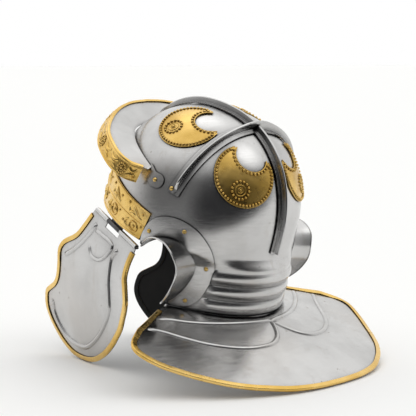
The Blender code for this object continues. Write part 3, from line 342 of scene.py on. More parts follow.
SHARP_ANGLE = math.radians(32.0)
BLACK_FACING = 0.35

# Colours of the metals
STEEL_CLEAN = (0.60, 0.595, 0.59)
STEEL_DEEP = (0.48, 0.475, 0.47)
STEEL_WARM = (0.52, 0.48, 0.44)
STEEL_STREAK = (0.40, 0.36, 0.32)
STEEL_SPOT = (0.16, 0.13, 0.10)
# Near black laid into corners, gaps between pieces and beside raised work as painted shade
STEEL_CREVICE_SHADE = (0.035, 0.035, 0.037)
# columns: clean, deep, dark for grime specks and for patina and painted shade in hollows and beside raised
# work
BRASS_COLOURS = ((0.84, 0.58, 0.20), (0.68, 0.43, 0.10), (0.13, 0.065, 0.015))
OLD_BRASS_COLOURS = ((0.78, 0.53, 0.17), (0.54, 0.34, 0.08), (0.10, 0.05, 0.012))

# Brightness of the room round the helmet
ROOM_SIDE = (0.20, 0.20, 0.20)
ROOM_BACKDROP = (1.0, 1.0, 0.99)
ROOM_CEILING = (1.22, 1.22, 1.21)
ROOM_DARK = (0.03, 0.03, 0.032)
ROOM_LAMP = (1.9, 1.9, 1.88)

# Studio
FLOOR_BACK = 20.0
FLOOR_SIDE = 20.0
FLOOR_FRONT = 0.38
BACKDROP_WAY = (-0.759, -0.651, 0.10)
DARK_WAY = (0.50, 0.86, -0.12)
LAMP_WAYS = ((-0.267, 0.599, 0.755), (-0.349, -0.337, 0.875))

# Camera at the photograph's angle
CAMERA_PLACE = Vector((1.2342, 1.0574, 0.3409))
CAMERA_RIGHT = Vector((-0.65101, 0.75906, -0.00331))
CAMERA_UP = Vector((-0.08392, -0.06764, 0.99417))
CAMERA_BACK = Vector((0.75441, 0.64750, 0.10773))
CAMERA_LENS = 133.233
CAMERA_SENSOR = 36.0


# Numbers and curves

def smooth_step(value):
    held = min(max(value, 0.0), 1.0)
    return held * held * (3.0 - 2.0 * held)


def mix(start, end, share):
    return start + (end - start) * share


def solve(function, low, high, turns=50):
    """Value between low and high where a rising or falling function passes zero."""
    rising = function(high) > function(low)
    for _ in range(turns):
        middle = 0.5 * (low + high)
        if (function(middle) > 0.0) == rising:
            high = middle
        else:
            low = middle
    return 0.5 * (low + high)


def curve_through(rows, share):
    """Smooth curve through table rows, read at a share from 0 to 1 of the rows."""
    place = min(max(share, 0.0), 1.0) * (len(rows) - 1)
    index = min(int(place), len(rows) - 2)
    part = place - index
    before = rows[max(index - 1, 0)]
    start = rows[index]
    end = rows[index + 1]
    after = rows[min(index + 2, len(rows) - 1)]
    values = []
    for p0, p1, p2, p3 in zip(before, start, end, after):
        slope_start = 0.5 * (p2 - p0)
        slope_end = 0.5 * (p3 - p1)
        cube = 2.0 * p1 - 2.0 * p2 + slope_start + slope_end
        square = -3.0 * p1 + 3.0 * p2 - 2.0 * slope_start - slope_end
        values.append(p1 + part * (slope_start + part * (square + part * cube)))
    return values


def mirrored(point, side):
    return Vector((point[0] * side, point[1], point[2]))


def square_to(way, axis):
    """The part of a direction that is square to an axis, with length 1."""
    return (way - axis * way.dot(axis)).normalized()


def frame_matrix(axes, place):
    """Matrix of a frame from its three axes and its origin."""
    turned = Matrix(axes).transposed().to_4x4()
    turned.translation = place
    return turned


# The bowl's outer skin

def plan_reach(across, along):
    """Reach of a plan place from the middle, in shares of the bowl's half sizes: 1 on the widest plan."""
    return (abs(across) ** BOWL_PLAN_POWER + abs(along) ** BOWL_PLAN_POWER) ** (1.0 / BOWL_PLAN_POWER)


def plan_shares(angle):
    cosine = math.cos(angle)
    sine = math.sin(angle)
    reach = plan_reach(cosine, sine)
    return cosine / reach, sine / reach


def rib_bulge(level):
    """Rounded rolls across the nape, from the first rib down to the lower edge."""
    first = -RIB_START_SHARE * NAPE_DEPTH
    if level >= first:
        return 0.0
    place = (first - level) / (NAPE_DEPTH + first) * RIB_COUNT
    if place >= RIB_COUNT:
        return 0.0
    return RIB_RELIEF * math.sin(math.pi * (place - int(place))) ** RIB_ROUNDNESS


def nape_blend(angle, level):
    rear = smooth_step(math.sin(angle) / NAPE_REAR_SINE)
    flare = -level / (RIB_START_SHARE * NAPE_DEPTH)
    return rear * smooth_step((flare - NAPE_FLARE_START) / (1.0 - NAPE_FLARE_START))


def skin(angle, level):
    """Point on the bowl's outer skin: plan angle from the left side, level up from the widest plan."""
    across, along = plan_shares(angle)
    shrink = 1.0
    if level > 0.0:
        shrink = (1.0 - min(level / BOWL_HEIGHT, 1.0) ** BOWL_DOME_POWER) ** (1.0 / BOWL_DOME_POWER)
    blend = nape_blend(angle, level)
    side_sine = mix(RIB_SIDE_SINE, RIB_LOW_SIDE_SINE, min(max(-level / NAPE_DEPTH, 0.0), 1.0))
    bulge = rib_bulge(level) * smooth_step((math.sin(angle) - side_sine) / RIB_FADE_SINE)
    half_width = mix(BOWL_HALF_WIDTH, NAPE_HALF_WIDTH, blend) + bulge
    half_length = mix(BOWL_HALF_LENGTH, NAPE_HALF_LENGTH, blend) + bulge
    y = shrink * half_length * along + NAPE_SHIFT * blend
    return Vector((shrink * half_width * across, y, level + NAPE_TILT * y * blend))


def dome_normal(point):
    """Outward direction on the crown, from the gradient of its power surface."""
    across = abs(point.x) / BOWL_HALF_WIDTH
    along = abs(point.y) / BOWL_HALF_LENGTH
    reach = plan_reach(across, along)
    scale = reach ** (BOWL_DOME_POWER - BOWL_PLAN_POWER)
    slope_x = math.copysign(across ** (BOWL_PLAN_POWER - 1.0) / BOWL_HALF_WIDTH, point.x) * scale
    slope_y = math.copysign(along ** (BOWL_PLAN_POWER - 1.0) / BOWL_HALF_LENGTH, point.y) * scale
    slope_z = (max(point.z, 0.0) / BOWL_HEIGHT) ** (BOWL_DOME_POWER - 1.0) / BOWL_HEIGHT
    return Vector((slope_x, slope_y, slope_z)).normalized()


def skin_normal(angle, level):
    if level >= 0.0:
        return dome_normal(skin(angle, level))
    small_angle = 0.01
    small_level = 0.5
    round_way = skin(angle + small_angle, level) - skin(angle - small_angle, level)
    up_way = skin(angle, level + small_level) - skin(angle, level - small_level)
    return round_way.cross(up_way).normalized()


def lifted(angle, level, lift):
    return skin(angle, level) + skin_normal(angle, level) * lift


def level_on_plane(angle, height, slope):
    """Level at which the skin meets the plane z = height + slope * y, at one plan angle."""
    return solve(lambda level: skin(angle, level).z - height - slope * skin(angle, level).y,
                 -NAPE_DEPTH, 0.98 * BOWL_HEIGHT, 30)


def side_place(y, height):
    """Plan angle and level of the point on the left wall at a given y and height."""
    level = height
    angle = 0.0
    for _ in range(8):
        angle = solve(lambda turn: skin(turn, level).y - y, -0.5 * math.pi, 0.5 * math.pi, 24)
        level += height - skin(angle, level).z
    return angle, level


def crown_point(x, y):
    reach = plan_reach(x / BOWL_HALF_WIDTH, y / BOWL_HALF_LENGTH)
    rise = (1.0 - min(reach, 1.0) ** BOWL_DOME_POWER) ** (1.0 / BOWL_DOME_POWER)
    return Vector((x, y, BOWL_HEIGHT * rise))


def onto_crown(point):
    """Move a point along its line from the bowl's centre until it is on the crown."""
    reach = plan_reach(point.x / BOWL_HALF_WIDTH, point.y / BOWL_HALF_LENGTH)
    size = reach ** BOWL_DOME_POWER + (max(point.z, 0.0) / BOWL_HEIGHT) ** BOWL_DOME_POWER
    return point * size ** (-1.0 / BOWL_DOME_POWER)


# Meshes

def solid(name, bm, materials, space=HELMET):
    bmesh.ops.recalc_face_normals(bm, faces=bm.faces)
    bm.transform(space @ Matrix.Scale(MM, 4))
    mesh = bpy.data.meshes.new(name)
    bm.to_mesh(mesh)
    bm.free()
    for material in materials:
        mesh.materials.append(material)
    shade(mesh)
    made = bpy.data.objects.new(name, mesh)
    bpy.context.collection.objects.link(made)
    return made


def shade(mesh):
    mesh.shade_smooth()
    mesh.set_sharp_from_angle(angle=SHARP_ANGLE)


def combine(target, tool_bm, operation, space=HELMET):
    """Boolean of the target with a helper mesh, applied at once; the helper is then removed."""
    tool = solid("helper", tool_bm, list(target.data.materials), space)
    modifier = target.modifiers.new("combine", 'BOOLEAN')
    modifier.operation = operation
    modifier.solver = 'EXACT'
    modifier.object = tool
    bpy.context.view_layer.update()
    evaluated = target.evaluated_get(bpy.context.evaluated_depsgraph_get())
    result = bpy.data.meshes.new_from_object(evaluated)
    target.modifiers.remove(modifier)
    target.data = result
    bpy.data.objects.remove(tool, do_unlink=True)
    shade(result)
    return target


def soften(piece, width):
    """Round the sharp edges a little, as hammered and polished sheet has them."""
    modifier = piece.modifiers.new("soft_edges", 'BEVEL')
    modifier.width = width * MM
    modifier.segments = 2
    modifier.limit_method = 'ANGLE'
    modifier.angle_limit = SHARP_ANGLE
    modifier.harden_normals = True


def settle_piece(piece, body, slot, *nodes):
    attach(piece, body)
    if nodes:
        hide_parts(*nodes)
    return piece


def blacken(piece, way):
    """Give the faces that look a certain way the piece's second material."""
    for face in piece.data.polygons:
        if face.normal.dot(way) > BLACK_FACING:
            face.material_index = 1


def join_rows(bm, low, high):
    """Faces between two closed rows of as many points."""
    made = []
    for index in range(len(low)):
        after = (index + 1) % len(low)
        made.append(bm.faces.new((low[index], low[after], high[after], high[index])))
    return made


def join_point(bm, row, point):
    """Faces between a closed row and one point."""
    count = len(row)
    return [bm.faces.new((row[index], row[(index + 1) % count], point)) for index in range(count)]


def sweep(bm, loops, closed=False):
    """Solid through equal closed loops, with caps on the first and the last unless it closes on itself."""
    rows = [[bm.verts.new(point) for point in loop] for loop in loops]
    pairs = list(zip(rows, rows[1:]))
    if closed:
        pairs.append((rows[-1], rows[0]))
    for low, high in pairs:
        join_rows(bm, low, high)
    if not closed:
        bm.faces.new(rows[0])
        bm.faces.new(rows[-1])


def plate_sweep(bm, loops):
    """The same for a plate, whose caps are strips between its two faces."""
    rows = [[bm.verts.new(point) for point in loop] for loop in loops]
    count = len(rows[0])
    for low, high in zip(rows, rows[1:]):
        join_rows(bm, low, high)
    for row in (rows[0], rows[-1]):
        for index in range(count // 2 - 1):
            bm.faces.new((row[index], row[index + 1], row[count - 2 - index], row[count - 1 - index]))


def plate_loop(top, bottom):
    return list(top) + list(reversed(bottom))


def round_turns(count):
    """Angles of that many points round a full circle."""
    return [2.0 * math.pi * index / count for index in range(count)]


def round_bar(bm, start, end, radius):
    """Round bar between two points."""
    axis = (end - start).normalized()
    side = axis.orthogonal().normalized()
    other = axis.cross(side)
    loops = []
    for centre in (start, end):
        loops.append([centre + (side * math.cos(turn) + other * math.sin(turn)) * radius
                      for turn in round_turns(ROUND_SIDES)])
    sweep(bm, loops)


def box(bm, low, high):
    corners = bmesh.ops.create_cube(bm, size=1.0)["verts"]
    for corner in corners:
        for axis in range(3):
            corner.co[axis] = mix(low[axis], high[axis], corner.co[axis] + 0.5)


def dome(bm, point, normal, radius, height, sides=10, sink=FOOT_SINK):
    """Small raised pearl or rivet head, its foot sunk a little into the sheet."""
    side = normal.orthogonal().normalized()
    other = normal.cross(side)
    rings = []
    for turn_up in DOME_RINGS:
        rise = height * math.sin(turn_up) if turn_up else -sink
        size = radius * math.cos(turn_up)
        ring = []
        for turn in round_turns(sides):
            way = side * math.cos(turn) + other * math.sin(turn)
            ring.append(bm.verts.new(point + way * size + normal * rise))
        rings.append(ring)
    top = bm.verts.new(point + normal * height)
    for low, high in zip(rings, rings[1:]):
        join_rows(bm, low, high)
    join_point(bm, rings[-1], top)
    bm.faces.new(rings[0])


def raised_line(bm, places, half_width, height, closed=False):
    """Half-round line along places of (point, normal) on a sheet, which runs out at its open ends."""
    loops = []
    last = len(places) - 1
    for index, (point, normal) in enumerate(places):
        before = places[index - 1][0] if index or closed else point
        after = places[(index + 1) % (last + 1)][0] if index < last or closed else point
        along = (after - before).normalized()
        side = normal.cross(along).normalized()
        rise = height
        if not closed:
            rise *= smooth_step(min(index, last - index) / LINE_END_STEPS + LINE_END_SHARE)
        loop = []
        for across, up in LINE_PROFILE:
            loop.append(point + side * across * half_width + normal * up * rise)
        loop.append(point + side * half_width - normal * FOOT_SINK)
        loop.append(point - side * half_width - normal * FOOT_SINK)
        loops.append(loop)
    sweep(bm, loops, closed)


def along_path(count):
    return [index / count for index in range(count + 1)]


# Materials

def new_material(name, colour, metallic, roughness):
    material = bpy.data.materials.new(name)
    material.use_nodes = True
    nodes = material.node_tree.nodes
    shader = nodes["Principled BSDF"]
    shader.inputs["Base Color"].default_value = (*colour, 1.0)
    shader.inputs["Metallic"].default_value = metallic
    shader.inputs["Roughness"].default_value = roughness
    return material, material.node_tree, shader


def noise(tree, scale, stretch=(1.0, 1.0, 1.0), detail=3.0, roughness=0.55):
    coordinate = tree.nodes.new("ShaderNodeTexCoord")
    mapping = tree.nodes.new("ShaderNodeMapping")
    mapping.inputs["Scale"].default_value = stretch
    texture = tree.nodes.new("ShaderNodeTexNoise")
    texture.inputs["Scale"].default_value = scale
    texture.inputs["Detail"].default_value = detail
    texture.inputs["Roughness"].default_value = roughness
    tree.links.new(coordinate.outputs["Object"], mapping.inputs["Vector"])
    tree.links.new(mapping.outputs["Vector"], texture.inputs["Vector"])
    return texture.outputs["Fac"]


def ranged(tree, value, low, high, out_low, out_high):
    node = tree.nodes.new("ShaderNodeMapRange")
    node.interpolation_type = 'SMOOTHSTEP'
    node.inputs["From Min"].default_value = low
    node.inputs["From Max"].default_value = high
    node.inputs["To Min"].default_value = out_low
    node.inputs["To Max"].default_value = out_high
    tree.links.new(value, node.inputs["Value"])
    return node.outputs["Result"]


def blended(tree, share, first, second):
    """Colour mix by a share; each colour is three numbers or another mix's output."""
    node = tree.nodes.new("ShaderNodeMix")
    node.data_type = 'RGBA'
    tree.links.new(share, node.inputs[0])
    for socket, colour in ((node.inputs[6], first), (node.inputs[7], second)):
        if isinstance(colour, tuple):
            socket.default_value = (*colour, 1.0)
        else:
            tree.links.new(colour, socket)
    return node.outputs[2]


def stained(tree, below, colour, low, high, most, scale, **look):
    """Colour laid over another, up to a share, where a noise of that scale is high."""
    return blended(tree, ranged(tree, noise(tree, scale, **look), low, high, 0.0, most), below, colour)


def bumped(tree, shader, layers):
    """Chain of bumps from (height output, depth in metres, strength)."""
    previous = None
    for height, depth, strength in layers:
        node = tree.nodes.new("ShaderNodeBump")
        node.inputs["Distance"].default_value = depth
        node.inputs["Strength"].default_value = strength
        tree.links.new(height, node.inputs["Height"])
        if previous:
            tree.links.new(previous, node.inputs["Normal"])
        previous = node.outputs["Normal"]
    tree.links.new(previous, shader.inputs["Normal"])


def crevice(tree, reach, low, high):
    """Ambient-occlusion mask for darkening laid where shade falls: one in corners and beside raised work,
    zero on open metal.
    """
    node = tree.nodes.new("ShaderNodeAmbientOcclusion")
    node.samples = 6
    node.inputs["Distance"].default_value = reach
    return ranged(tree, node.outputs["AO"], low, high, 1.0, 0.0)


def steel_material():
    material, tree, shader = new_material("polished_steel", (0.50, 0.51, 0.53), 1.0, 0.26)
    cloudy = stained(tree, STEEL_CLEAN, STEEL_DEEP, 0.35, 0.68, 1.0, 14.0, detail=4.0)
    tinted = stained(tree, cloudy, STEEL_WARM, 0.52, 0.74, 0.5, 6.0, detail=2.0)
    streaked = stained(tree, tinted, STEEL_STREAK, 0.54, 0.72, 0.32, 75.0,
                       stretch=(1.0, 1.0, 0.14), detail=5.0, roughness=0.7)
    speckled = stained(tree, streaked, STEEL_SPOT, 0.70, 0.75, 0.75, 130.0, detail=3.0, roughness=0.6)
    # Painted shade: near black where the ambient-occlusion mask finds corners, gaps between pieces and
    # raised work
    crevice_shaded = blended(tree, crevice(tree, 0.006, 0.50, 0.97), speckled, STEEL_CREVICE_SHADE)
    tree.links.new(crevice_shaded, shader.inputs["Base Color"])
    brushed = noise(tree, 60.0, stretch=(1.0, 1.0, 14.0), detail=5.0)
    tree.links.new(ranged(tree, brushed, 0.3, 0.7, 0.19, 0.27), shader.inputs["Roughness"])
    fine = noise(tree, 500.0, stretch=(1.0, 1.0, 5.0), detail=2.0)
    dents = noise(tree, 22.0, detail=1.0)
    bumped(tree, shader, [(dents, 0.0006, 0.2), (fine, 0.00003, 0.25)])
    return material


def brass_material(name, clean, deep, grime_patina_and_shade, low_rough, high_rough):
    material, tree, shader = new_material(name, clean, 1.0, low_rough)
    toned = stained(tree, clean, deep, 0.35, 0.68, 1.0, 20.0, detail=4.0)
    speckled = stained(tree, toned, grime_patina_and_shade, 0.66, 0.76, 0.6, 190.0, detail=3.0, roughness=0.65)
    # Dark patina and painted shade laid into hollows, gaps and beside raised work by the ambient-occlusion
    # mask
    crevice_shaded = blended(tree, crevice(tree, 0.003, 0.30, 0.92), speckled, grime_patina_and_shade)
    tree.links.new(crevice_shaded, shader.inputs["Base Color"])
    rubbed = noise(tree, 70.0, detail=4.0)
    tree.links.new(ranged(tree, rubbed, 0.3, 0.7, low_rough, high_rough), shader.inputs["Roughness"])
    fine = noise(tree, 420.0, detail=3.0)
    planish = noise(tree, 85.0, detail=1.0)
    bumped(tree, shader, [(planish, 0.0009, 0.4), (fine, 0.0001, 0.4)])
    return material


def dark_steel_material():
    material, tree, shader = new_material("dark_steel", (0.10, 0.10, 0.11), 1.0, 0.42)
    toned = stained(tree, (0.13, 0.13, 0.14), (0.07, 0.065, 0.06), 0.35, 0.7, 1.0, 60.0, detail=4.0)
    tree.links.new(toned, shader.inputs["Base Color"])
    fine = noise(tree, 500.0, detail=3.0)
    bumped(tree, shader, [(fine, 0.0001, 0.5)])
    return material


def inside_black_and_shade_material():
    """Black of the bowl's inside and of the cheek pieces' inner faces: black paint, made darker than paint
    as painted shade inside the helmet.
    """
    material, tree, shader = new_material("black_paint_and_shade_inside", (0.004, 0.004, 0.004), 0.0, 0.85)
    toned = stained(tree, (0.003, 0.003, 0.003), (0.008, 0.007, 0.007), 0.35, 0.7, 1.0, 35.0, detail=4.0)
    tree.links.new(toned, shader.inputs["Base Color"])
    fine = noise(tree, 260.0, detail=3.0)
    bumped(tree, shader, [(fine, 0.0002, 0.5)])
    return material


# Bowl

def ear_edge(share):
    """Ear opening's edge at a share of its run: y, height, plate width, projection, flare."""
    y, height, width, projection, flare = curve_through(EAR_EDGE, share)
    return (EAR_Y + y * EAR_SIZE, EAR_HEIGHT + height * EAR_SIZE,
            width * EAR_SIZE, projection * EAR_SIZE, flare * EAR_SIZE)


def ear_edge_outward(share):
    """Direction away from the opening, in the plane of y and height."""
    step = 0.01
    before = ear_edge(share - step)
    after = ear_edge(share + step)
    run_y = after[0] - before[0]
    run_height = after[1] - before[1]
    length = math.hypot(run_y, run_height)
    return -run_height / length, run_y / length


def face_and_ear_cutter():
    """Prism through both sides: all below the brow edge, with the two ear openings."""
    lower = -2.0 * NAPE_DEPTH
    front = -1.5 * BOWL_HALF_LENGTH
    outline = []
    for share in along_path(EAR_STATIONS):
        y, height = ear_edge(share)[:2]
        out_y, out_height = ear_edge_outward(share)
        outline.append((y + out_y * EAR_CUT_MARGIN, height + out_height * EAR_CUT_MARGIN))
    first_y = outline[0][0]
    start = [(front, BROW_EDGE_HEIGHT + BROW_EDGE_SLOPE * front),
             (first_y - 4.0, BROW_EDGE_HEIGHT + BROW_EDGE_SLOPE * first_y)]
    last_y = outline[-1][0]
    end = [(last_y - 3.0, 0.6 * lower), (last_y - 3.0, lower), (front, lower)]
    outline = start + outline + end
    reach = 1.3 * BOWL_HALF_WIDTH
    bm = bmesh.new()
    left = [bm.verts.new((reach, y, z)) for y, z in outline]
    right = [bm.verts.new((-reach, y, z)) for y, z in outline]
    join_rows(bm, left, right)
    bm.faces.new(left)
    bm.faces.new(right)
    return bm


def bowl_levels():
    first = -RIB_START_SHARE * NAPE_DEPTH
    rows = RIB_COUNT * RIB_ROWS
    levels = [mix(-NAPE_DEPTH, first, index / rows) for index in range(rows)]
    levels += [mix(first, 0.0, index / BOWL_WALL_ROWS) for index in range(BOWL_WALL_ROWS)]
    for index in range(BOWL_DOME_ROWS):
        levels.append(BOWL_HEIGHT * math.sin(0.5 * math.pi * (index + 0.4) / (BOWL_DOME_ROWS + 0.1)))
    return levels


def make_bowl(steel, inside_black_and_shade):
    bm = bmesh.new()
    levels = bowl_levels()

    def surface(lift, slot_index):
        rows = []
        for level in levels:
            rows.append([bm.verts.new(lifted(turn, level, lift)) for turn in round_turns(BOWL_COLUMNS)])
        pole = bm.verts.new((0.0, 0.0, BOWL_HEIGHT + lift))
        made = []
        for low, high in zip(rows, rows[1:]):
            made += join_rows(bm, low, high)
        made += join_point(bm, rows[-1], pole)
        for face in made:
            face.material_index = slot_index
        return rows

    outer = surface(0.0, 0)
    # Inner surface: black paint darkened further as painted shade
    inner = surface(-BOWL_WALL, 1)
    for index in range(BOWL_COLUMNS):
        after = (index + 1) % BOWL_COLUMNS
        bm.faces.new((outer[0][index], inner[0][index], inner[0][after], outer[0][after]))
    bowl = solid("bowl_shell", bm, [steel, inside_black_and_shade])
    combine(bowl, face_and_ear_cutter(), 'DIFFERENCE')
    settle_piece(bowl, "helmet", "polished_steel", "bowl")


# Brow band

def band_place(share, rise, lift):
    """Point and normal on the brow band: share round the brow from the left, rise from 0 to 1."""
    start_angle = side_place(BROW_BAND_REAR, 0.0)[0]
    lean = BROW_BAND_REAR_LEAN * (BROW_TOP_HEIGHT - BROW_EDGE_HEIGHT) / BOWL_HALF_LENGTH
    near_end = max(0.0, 1.0 - min(share, 1.0 - share) * BAND_COLUMNS / 4.0)
    angle = mix(start_angle, -math.pi - start_angle, share)
    side = 1.0 if share < 0.5 else -1.0
    low_angle = angle - side * lean * near_end
    bottom = level_on_plane(low_angle, BROW_EDGE_HEIGHT, BROW_EDGE_SLOPE)
    top = level_on_plane(angle, BROW_TOP_HEIGHT, BROW_TOP_SLOPE)
    turn = mix(low_angle, angle, rise)
    level = mix(bottom, top, rise)
    return lifted(turn, level, lift), skin_normal(turn, level)


def band_ornament(bm, lift):
    """Raised edges, a middle rib, and leaves, rings, scrolls and bosses in the two registers."""
    for rise, half_width, height in ((0.04, 1.1, 1.0), (0.96, 1.1, 1.0), (0.50, 0.8, 0.9)):
        places = [band_place(share, rise, lift) for share in along_path(90)]
        raised_line(bm, places, half_width, height)
    repeats = 10
    # points of each leaf: step along the band, rise
    leaves = [
        [(-0.024, 0.60), (-0.010, 0.68), (0.004, 0.80), (0.016, 0.86)],
        [(0.002, 0.60), (0.014, 0.66), (0.024, 0.62), (0.030, 0.72)],
        [(0.022, 0.14), (0.036, 0.22), (0.034, 0.34), (0.024, 0.40)],
    ]
    # columns: step along the band, rise, radius
    bosses = [
        (0.000, 0.28, 2.0),
        (0.034, 0.84, 1.9),
        (-0.026, 0.80, 1.5),
        (0.048, 0.24, 1.4),
        (-0.030, 0.40, 1.3),
    ]
    for index in range(repeats):
        middle = (index + 0.5) / repeats
        side = 1.0 if middle < 0.5 else -1.0
        for leaf in leaves:
            steps = [curve_through(leaf, part) for part in along_path(8)]
            places = [band_place(min(max(middle + side * step, 0.01), 0.99), rise, lift)
                      for step, rise in steps]
            raised_line(bm, places, 1.6, 1.5)
        ring = [band_place(middle + 0.0165 * math.cos(turn), 0.28 + 0.14 * math.sin(turn), lift)
                for turn in round_turns(16)]
        raised_line(bm, ring, 1.0, 1.3, closed=True)
        for step, rise, radius in bosses:
            if 0.01 < middle + side * step < 0.99:
                point, normal = band_place(middle + side * step, rise, lift)
                dome(bm, point, normal, radius, 1.5, 10)


def make_brow_band(brass):
    bm = bmesh.new()
    loops = []
    lift = PLATE_LIFT + BAND_THICKNESS
    for share in along_path(BAND_COLUMNS):
        outside = [band_place(share, rise, lift)[0] for rise in along_path(BAND_ROWS)]
        inside = [band_place(share, rise, PLATE_LIFT)[0] for rise in along_path(BAND_ROWS)]
        loops.append(plate_loop(outside, inside))
    plate_sweep(bm, loops)
    band_ornament(bm, lift)
    band = solid("brow_band_embossed", bm, [brass])
    settle_piece(band, "helmet", "brass", "brow_band")


# Brow guard

def peak_rim(share):
    """Rim of the peak from the left end (share 0) over the front to the right end (share 1)."""
    half = 1.0 - abs(2.0 * share - 1.0)
    across, reach = curve_through(PEAK_RIM, half)
    y = -reach * PEAK_REACH
    side = 1.0 if share <= 0.5 else -1.0
    return Vector((side * across * PEAK_HALF_WIDTH, y, PEAK_RIM_HEIGHT + PEAK_RIM_SLOPE * y))


def peak_seat_height(y):
    """Height of the peak's line on the bowl, which levels off towards the front."""
    return PEAK_SEAT_FRONT_HEIGHT - PEAK_SEAT_DROP * (1.0 + y / (0.84 * BOWL_HALF_LENGTH)) ** 2


def peak_seat(share):
    angle = mix(PEAK_START_ANGLE, -math.pi - PEAK_START_ANGLE, share)
    level = solve(lambda height: height - peak_seat_height(skin(angle, height).y), 0.0, 0.9 * BOWL_HEIGHT)
    return lifted(angle, level, 2.0 * SEAT_GAP + PEAK_THICKNESS * 0.5)


def peak_frame(share):
    """Outward and upward directions of the sheet at a station of the peak's rim."""
    step = 0.004
    along = (peak_rim(min(share + step, 1.0)) - peak_rim(max(share - step, 0.0))).normalized()
    outward = square_to(peak_rim(share) - peak_seat(share), along)
    up = along.cross(outward).normalized()
    return outward, up if up.z > 0.0 else up * -1.0


def peak_tab(side):
    """Round-ended strap on the side of the bowl that carries one end of the peak."""
    bm = bmesh.new()
    loops = []
    rows = 28
    front_y = -6.0
    for share in along_path(rows):
        y = mix(front_y, PEAK_TAB_REACH, share)
        before_end = PEAK_TAB_REACH - y
        half_width = PEAK_TAB_HALF_WIDTH
        if before_end < PEAK_TAB_HALF_WIDTH:
            part = before_end / PEAK_TAB_HALF_WIDTH
            half_width *= math.sqrt(max(1.0 - (1.0 - part) ** 2, 0.02))
        rise = 1.0 - smooth_step((y - front_y) / 12.0)
        outside = []
        inside = []
        for way in (-1.0, -0.5, 0.0, 0.5, 1.0):
            height = PEAK_TAB_HEIGHT + 5.0 * rise + way * half_width
            angle, level = side_place(y, height)
            inside.append(mirrored(lifted(angle, level, SEAT_GAP), side))
            outside.append(mirrored(lifted(angle, level, SEAT_GAP + PEAK_THICKNESS), side))
        loops.append(plate_loop(outside, inside))
    plate_sweep(bm, loops)
    return bm


def make_brow_guard(steel):
    bm = bmesh.new()
    loops = []
    for share in along_path(2 * PEAK_STATIONS * PEAK_FINENESS):
        seat = peak_seat(share)
        rim = peak_rim(share)
        half = peak_frame(share)[1] * (PEAK_THICKNESS * 0.5)
        middle = [seat.lerp(rim, part / 6.0) for part in range(7)]
        loops.append(plate_loop([point + half for point in middle], [point - half for point in middle]))
    plate_sweep(bm, loops)
    guard = solid("brow_guard_sheet", bm, [steel])
    for side in (1.0, -1.0):
        combine(guard, peak_tab(side), 'UNION')
    settle_piece(guard, "helmet", "polished_steel", "brow_guard")


def trim_place(share, fall, lift=0.0):
    """Point and normal on the peak's brass face: share along the rim, fall from 0 to 1 down it."""
    rim = peak_rim(share)
    outward, up = peak_frame(share)
    hang = Vector((0.0, -PEAK_RIM_SLOPE, 1.0)).normalized()
    down = hang.lerp(up, 0.5)
    out = EDGING_CLEARANCE + BAND_THICKNESS + PEAK_BAND_FLARE * fall + lift
    return rim + outward * out - down * (PEAK_BAND_HEIGHT * fall), outward


def trim_ornament(bm, first, last):
    """Raised borders with pearled rosettes, lenses and leaves between them."""
    shares = [mix(first, last, part) for part in along_path(110)]
    for fall in (0.045, 0.955):
        raised_line(bm, [trim_place(share, fall) for share in shares], 0.9, 0.8)
    rosettes = 7
    for index in range(rosettes):
        centre = mix(first, last, (index + 0.62) / (rosettes + 0.24))
        width = 0.0135
        for turn in round_turns(12):
            point, normal = trim_place(centre + width * math.cos(turn), 0.5 + 0.31 * math.sin(turn))
            dome(bm, point, normal, 1.35, 1.4, 8)
        ring = [trim_place(centre + 0.55 * width * math.cos(turn), 0.5 + 0.17 * math.sin(turn))
                for turn in round_turns(16)]
        raised_line(bm, ring, 0.8, 1.0, closed=True)
        point, normal = trim_place(centre, 0.5)
        dome(bm, point, normal, 1.6, 1.6, 10)
        for step in (-1.0, 1.0):
            middle = centre + step * 0.042
            if not first + 0.01 < middle < last - 0.01:
                continue
            for fall, bend in ((0.32, 0.16), (0.68, -0.16)):
                lens = [trim_place(middle + 0.018 * way, fall + bend * (1.0 - way * way) - 0.5 * bend)
                        for way in (-1.0, -0.6, -0.2, 0.2, 0.6, 1.0)]
                raised_line(bm, lens, 1.9, 1.6)
            point, normal = trim_place(middle, 0.5)
            dome(bm, point, normal, 1.1, 1.0, 8)


def make_brow_guard_trim(brass):
    bm = bmesh.new()
    loops = []
    first = 0.5 / PEAK_STATIONS
    last = 1.0 - first
    thick = BAND_THICKNESS
    lip_low = PEAK_THICKNESS * 0.5 + EDGING_CLEARANCE
    falls = along_path(8)
    for part in along_path(2 * (PEAK_STATIONS - 1) * PEAK_FINENESS):
        share = mix(first, last, part)
        rim = peak_rim(share)
        outward, up = peak_frame(share)
        top = EDGING_CLEARANCE
        loop = [rim - outward * PEAK_BAND_LIP + up * lip_low,
                rim - outward * PEAK_BAND_LIP + up * (lip_low + thick),
                rim + outward * (top + 0.3 * thick) + up * (lip_low + thick),
                rim + outward * (top + 0.8 * thick) + up * (lip_low + 0.7 * thick)]
        loop += [trim_place(share, fall)[0] for fall in falls]
        loop += [trim_place(share, fall, -thick)[0] for fall in reversed(falls[1:])]
        loop.append(rim + outward * top + up * lip_low)
        loops.append(loop)
    sweep(bm, loops)
    trim_ornament(bm, first, last)
    trim = solid("brow_guard_band_embossed", bm, [brass])
    settle_piece(trim, "helmet", "brass", "brow_guard_trim")


# Cross bars

